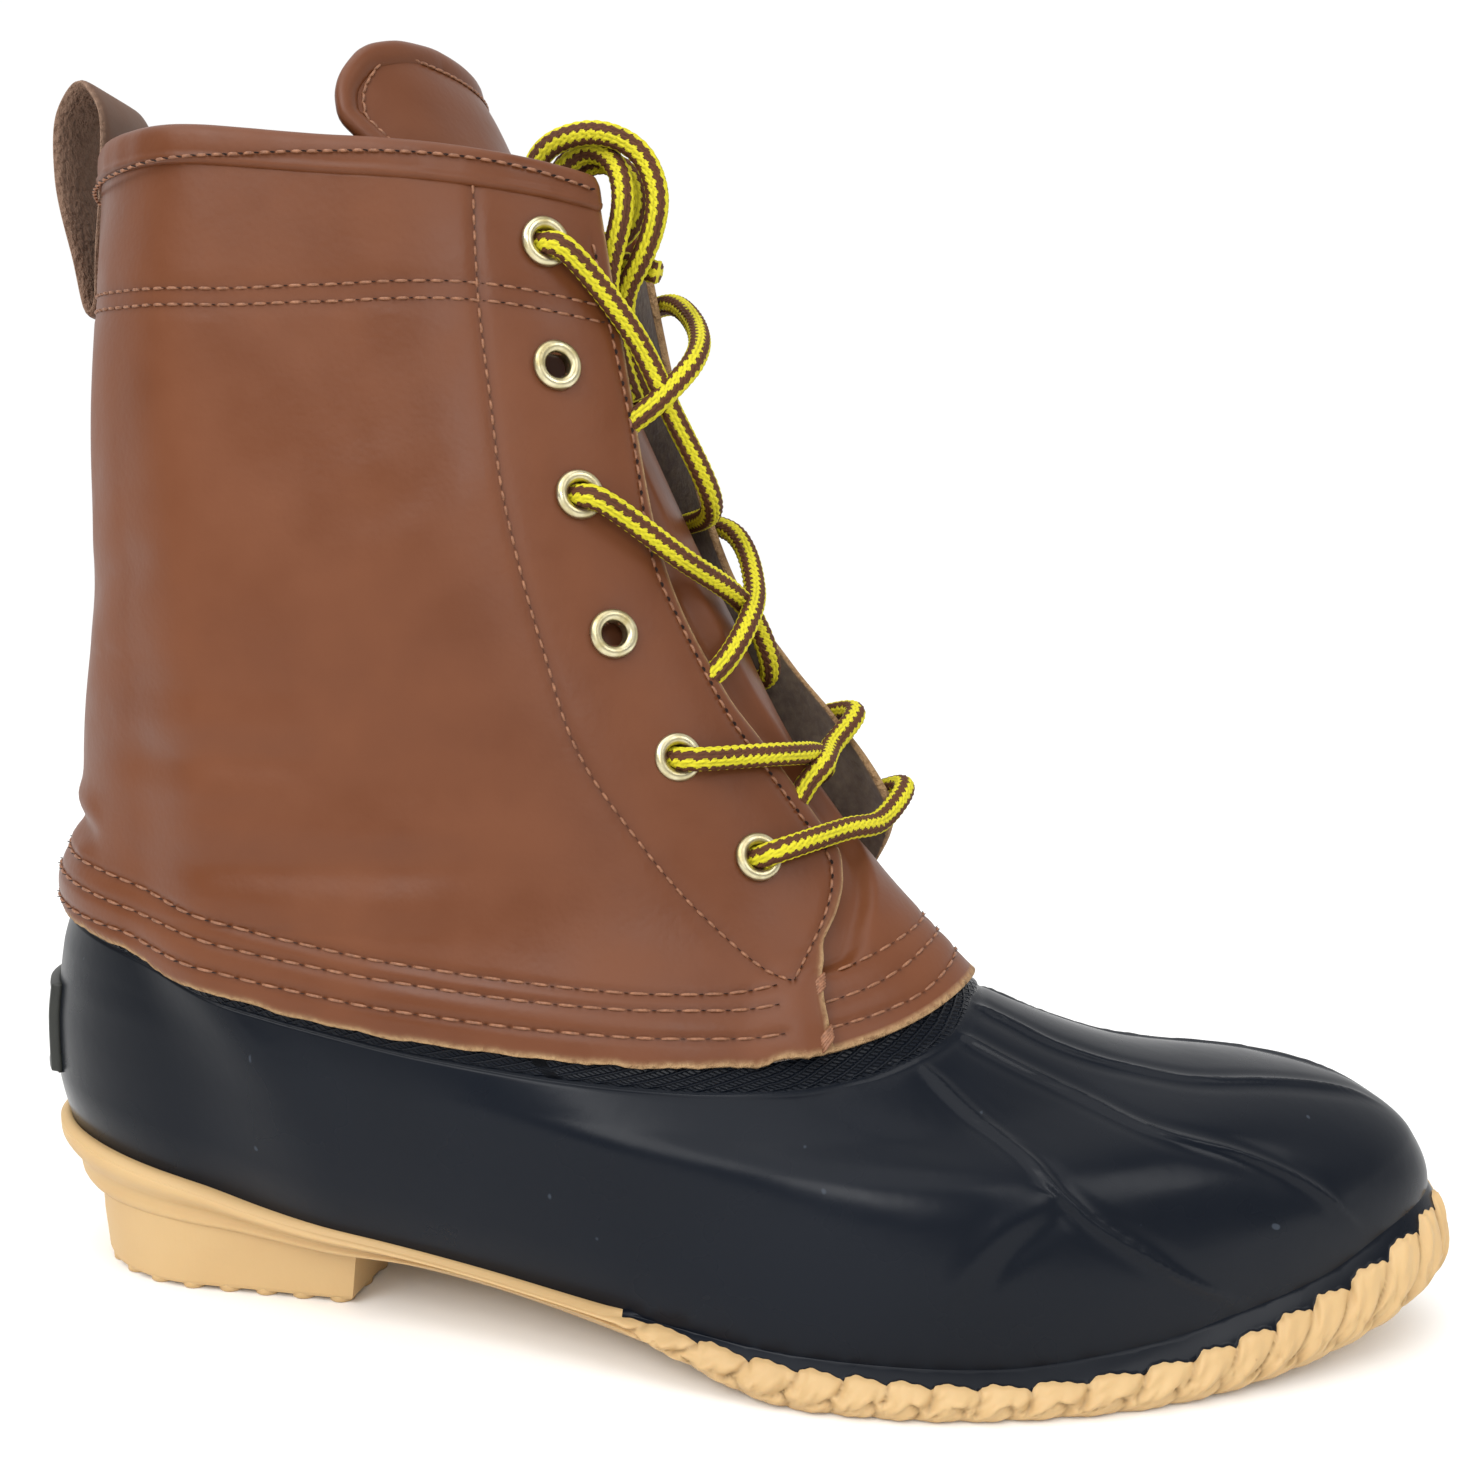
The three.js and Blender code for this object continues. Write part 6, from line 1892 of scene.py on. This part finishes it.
@dataclass
class Stitching:
    """Thread stitches, and dark discs of painted shade standing for the needle holes between them, along every
    seam.
    """

    thread: float = 0.30
    hole: float = 0.52
    hole_proud: float = 0.12
    line_pitch: float = 0.4
    # levels of the two rows of the bar tacks at the facing's foot
    tack_levels: tuple[tuple[float, float], ...] = ((1.222, 1.262), (1.035, 1.080))
    tack_rows: int = 5
    tack_lift: float = 2.45
    tongue_stitch: float = 2.5

    def seam_points(self, seam: Seam) -> tuple[Points, Points, Points]:
        """Places, directions and normals of one seam's stitches on both sides of the boot."""
        places, directions, normals = [], [], []
        shaft = Shaft()
        for side in Side:
            path, normal = line_on_skin(seam.line, side, seam.lift - seam.groove * 0.7, seam.quarter,
                                        self.line_pitch)
            if seam.quarter and seam.lift == LEATHER_OUTSIDE:
                level, turn = line_levels(seam.line, side, True, self.line_pitch)
                base = FORM.quarter(level, turn, LEATHER_OUTSIDE)
                height, _ = shaft.relief(base[None], level[None], turn[None])
                path = base + normal * (height[0] + self.hole_proud)[:, None]
            length = running_length(path)
            count = max(2, int(length[-1] / seam.pitch))
            even = (np.arange(count) + 0.5) * length[-1] / count
            tangent = unit(np.gradient(path, axis=0))
            pick = lambda values: np.stack([np.interp(even, length, column) for column in values.T], -1)
            places.append(pick(path))
            directions.append(unit(pick(tangent)))
            normals.append(unit(pick(normal)))
        return np.vstack(places), np.vstack(directions), np.vstack(normals)

    def build(self, shop: Workshop) -> None:
        """Make the stitches and the dark discs of painted shade at the holes, each as one mesh of joined
        copies.

        Args:
            shop: the materials.
        """
        angle = np.linspace(0, 2 * np.pi, 8, endpoint=False)
        along = np.array([-1.0, -0.82, -0.4, 0.4, 0.82, 1.0])
        size = np.array([0.05, 0.75, 1.0, 1.0, 0.75, 0.05])
        bow = np.array([-1.6, -0.3, 0.35, 0.35, -0.3, -1.6])
        capsule = np.stack([np.broadcast_to(along[:, None], (6, 8)), size[:, None] * np.cos(angle)[None],
                            size[:, None] * np.sin(angle)[None] + bow[:, None]], -1).reshape(-1, 3)
        capsule_faces = grid_faces(6, 8, True)[:, ::-1]
        disc = np.stack([np.zeros(8), np.cos(angle), np.sin(angle)], -1)
        disc = np.vstack([np.roll(disc, 1, 1) + [0, 0, 0.12], np.roll(disc, 1, 1) * 0.5 + [0, 0, -1.2]])
        disc_faces = grid_faces(2, 8, True)
        frames, spots, hole_spots, hole_frames = [], [], [], []
        for seam in SEAMS:
            place, direction, normal = self.seam_points(seam)
            side = unit(np.cross(normal, direction))
            frames.append(np.stack([direction * seam.stitch / 2, side * self.thread, normal * self.thread],
                                   1))
            spots.append(place)
            hole_spots.append(place + direction * seam.pitch / 2 + normal * self.hole_proud)
            wide = np.array([(seam.pitch - seam.stitch) * 0.5 + 0.05, self.hole, self.hole])
            hole_frames.append(np.stack([direction, side, normal], 1) * wide[None, :, None])
        tongue = Tongue()
        face, _, _ = tongue.grid(0.0)
        start, inset = tongue.lower_rows - 6, 4
        line = np.vstack([face[start:-5, inset], face[-6, inset:-inset], face[start:-5, -inset - 1][::-1]])
        path = smooth_path(line[::3], 60)
        direction = unit(np.gradient(path, axis=0))
        normal = unit(np.cross(face[-8, -inset] - face[-8, inset], face[-6, 30] - face[-16, 30]))
        normal = normal * np.sign(normal[0])
        normal = unit(normal[None] - direction * (direction @ normal)[:, None])
        side = np.cross(normal, direction)
        spots.append(path + normal * 0.2)
        frames.append(np.stack([direction * self.tongue_stitch / 2, side * self.thread,
                                normal * self.thread], 1))
        for levels in self.tack_levels:
            level = np.tile(np.linspace(*levels, self.tack_rows), 2)
            sign = np.repeat([-1.0, 1.0], self.tack_rows)
            turn = sign * (FORM.edge(level)[:, 0] - 0.009)
            normal = FORM.quarter_normal(level, turn)
            up = unit(FORM.quarter(level + 0.02, turn) - FORM.quarter(level - 0.02, turn))
            direction = unit(np.cross(up, normal) + 0.25 * up)
            side = unit(np.cross(normal, direction))
            spots.append(FORM.quarter(level, turn, LEATHER_OUTSIDE + self.tack_lift))
            frames.append(np.stack([direction * 2.3, side * self.thread * 1.3, normal * self.thread * 1.8],
                                   1))
        stitches = joined_copies("thread_stitches", capsule, capsule_faces, np.vstack(spots),
                                 np.vstack(frames))
        shop.finish(stitches, shop.thread, "leather")
        # painted shade: dark discs set where the needle holes are
        holes = joined_copies("needle_hole_shade_discs", disc, disc_faces, np.vstack(hole_spots), np.vstack(hole_frames))
        shop.finish(holes, shop.hole, "leather")


# Scene

@dataclass
class Studio:
    """Camera at the photo's viewing angle, a pale floor and soft light."""

    place: Spot = (160.95, -326.8, 142.8)
    yaw: float = 9.2
    pitch: float = 4.3
    roll: float = 1.2
    lens: float = 37.73

    def camera(self) -> None:
        """Camera turned from looking along +Y: left by the yaw, down by the pitch, and rolled."""
        yaw, pitch, roll = np.radians([self.yaw, self.pitch, self.roll])
        level = np.array([-np.sin(yaw), np.cos(yaw), 0.0])
        right0 = np.array([np.cos(yaw), np.sin(yaw), 0.0])
        zenith = np.array([0.0, 0.0, 1.0])
        forward = level * np.cos(pitch) - zenith * np.sin(pitch)
        up0 = zenith * np.cos(pitch) + level * np.sin(pitch)
        right = right0 * np.cos(roll) + up0 * np.sin(roll)
        up = up0 * np.cos(roll) - right0 * np.sin(roll)
        data = bpy.data.cameras.new("photo_camera")
        data.lens, data.sensor_width, data.sensor_fit = self.lens, 36.0, "HORIZONTAL"
        data.dof.use_dof = False
        data.clip_start = 0.01
        camera = bpy.data.objects.new("photo_camera", data)
        self.set_down(camera, (right, up, -forward), [value * MM for value in self.place])
        bpy.context.scene.camera = camera

    def set_down(self, item: bpy.types.Object, axes: tuple[Points, ...], spot: list[float]) -> None:
        """Link an object to the scene with its three axes turned as given, at a spot in metres."""
        matrix = Matrix.Identity(4)
        for row in range(3):
            for column, axis in enumerate(axes):
                matrix[row][column] = axis[row]
            matrix[row][3] = spot[row]
        item.matrix_world = matrix
        bpy.context.scene.collection.objects.link(item)

    def floor(self) -> None:
        """Plain pale floor just under the boot."""
        reach = 6000.0
        corners = np.array([[-1, -1, 0], [1, -1, 0], [1, 1, 0], [-1, 1, 0]]) * reach - [0, 0, 0.02]
        floor = store_mesh("floor", corners, np.array([[0, 1, 2, 3]]), False)
        pale = PlainFinish("pale_floor", "#f7f7f6", 0.9, second="#f5f5f4", grain=40.0)
        floor.data.materials.append(pale.build())

    def aim(self, lamp: bpy.types.Object, spot: Spot, goal: Spot) -> None:
        """Put a lamp at a spot, in metres, with its light towards a goal."""
        direction = unit(np.array(spot) - np.array(goal))
        side = unit(np.cross(np.array([0.0, 0.0, 1.0]), direction))
        self.set_down(lamp, (side, np.cross(direction, side), direction), list(spot))

    def softbox(self, name: str, spot: Spot, size: float, power: float) -> None:
        """One square soft light, in metres and watts."""
        data = bpy.data.lights.new(name, "AREA")
        data.energy, data.size, data.shape = power, size, "SQUARE"
        self.aim(bpy.data.objects.new(name, data), spot, (0.08, 0.0, 0.1))

    def sky(self) -> None:
        """Even light from above, so wide that its shadows are soft."""
        data = bpy.data.lights.new("overhead_light", "SUN")
        data.energy, data.angle = 2.1, np.radians(75)
        self.aim(bpy.data.objects.new("overhead_light", data), (-0.5, -0.9, 1.9), (0.0, 0.0, 0.0))

    def surround(self) -> None:
        """White backdrop behind the boot and a dimmer room in front of it."""
        world = bpy.data.worlds.new("studio_surround")
        world.use_nodes = True
        tree = world.node_tree
        place = add_node(tree, "ShaderNodeTexCoord")
        parts = add_node(tree, "ShaderNodeSeparateXYZ", None, {"Vector": place.outputs["Generated"]})
        ends = {"From Min": -0.15, "From Max": 0.3, "To Min": 0.30, "To Max": 1.02}
        glow = add_node(tree, "ShaderNodeMapRange", ends, {"Value": parts.outputs["Y"]})
        tree.nodes["Background"].inputs["Color"].default_value = (1.0, 1.0, 1.0, 1.0)
        tree.links.new(glow.outputs["Result"], tree.nodes["Background"].inputs["Strength"])
        bpy.context.scene.world = world

    def build(self) -> None:
        """Set the floor, the lights and the surround."""
        self.floor()
        self.sky()
        self.softbox("key_light", (-0.45, -1.25, 1.05), 0.8, 9.0)
        self.softbox("front_light", (0.33, -1.0, 0.50), 0.30, 2.5)
        self.softbox("toe_light", (0.95, -0.55, 0.8), 0.5, 3.0)
        self.surround()
        bpy.context.scene.view_settings.view_transform = "Standard"


def main() -> None:
    """Build the boot piece by piece and report each."""
    logging.basicConfig(level=logging.INFO, format="%(name)s: %(message)s")
    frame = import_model()
    studio = Studio()
    studio.camera()
    shop = Workshop()
    for part in (FreeEnds, Outsole, RubberShell, Shaft, CollarBinding, Tongue, PullLoop, HeelBadge, Eyelets,
                 Lacing, Stitching):
        part().build(shop)
    studio.build()
    insole = frame["nodes"]["insole"]
    insole.data.materials.clear()
    insole.data.materials.append(shop.felt)


if __name__ == "__main__":
    main()
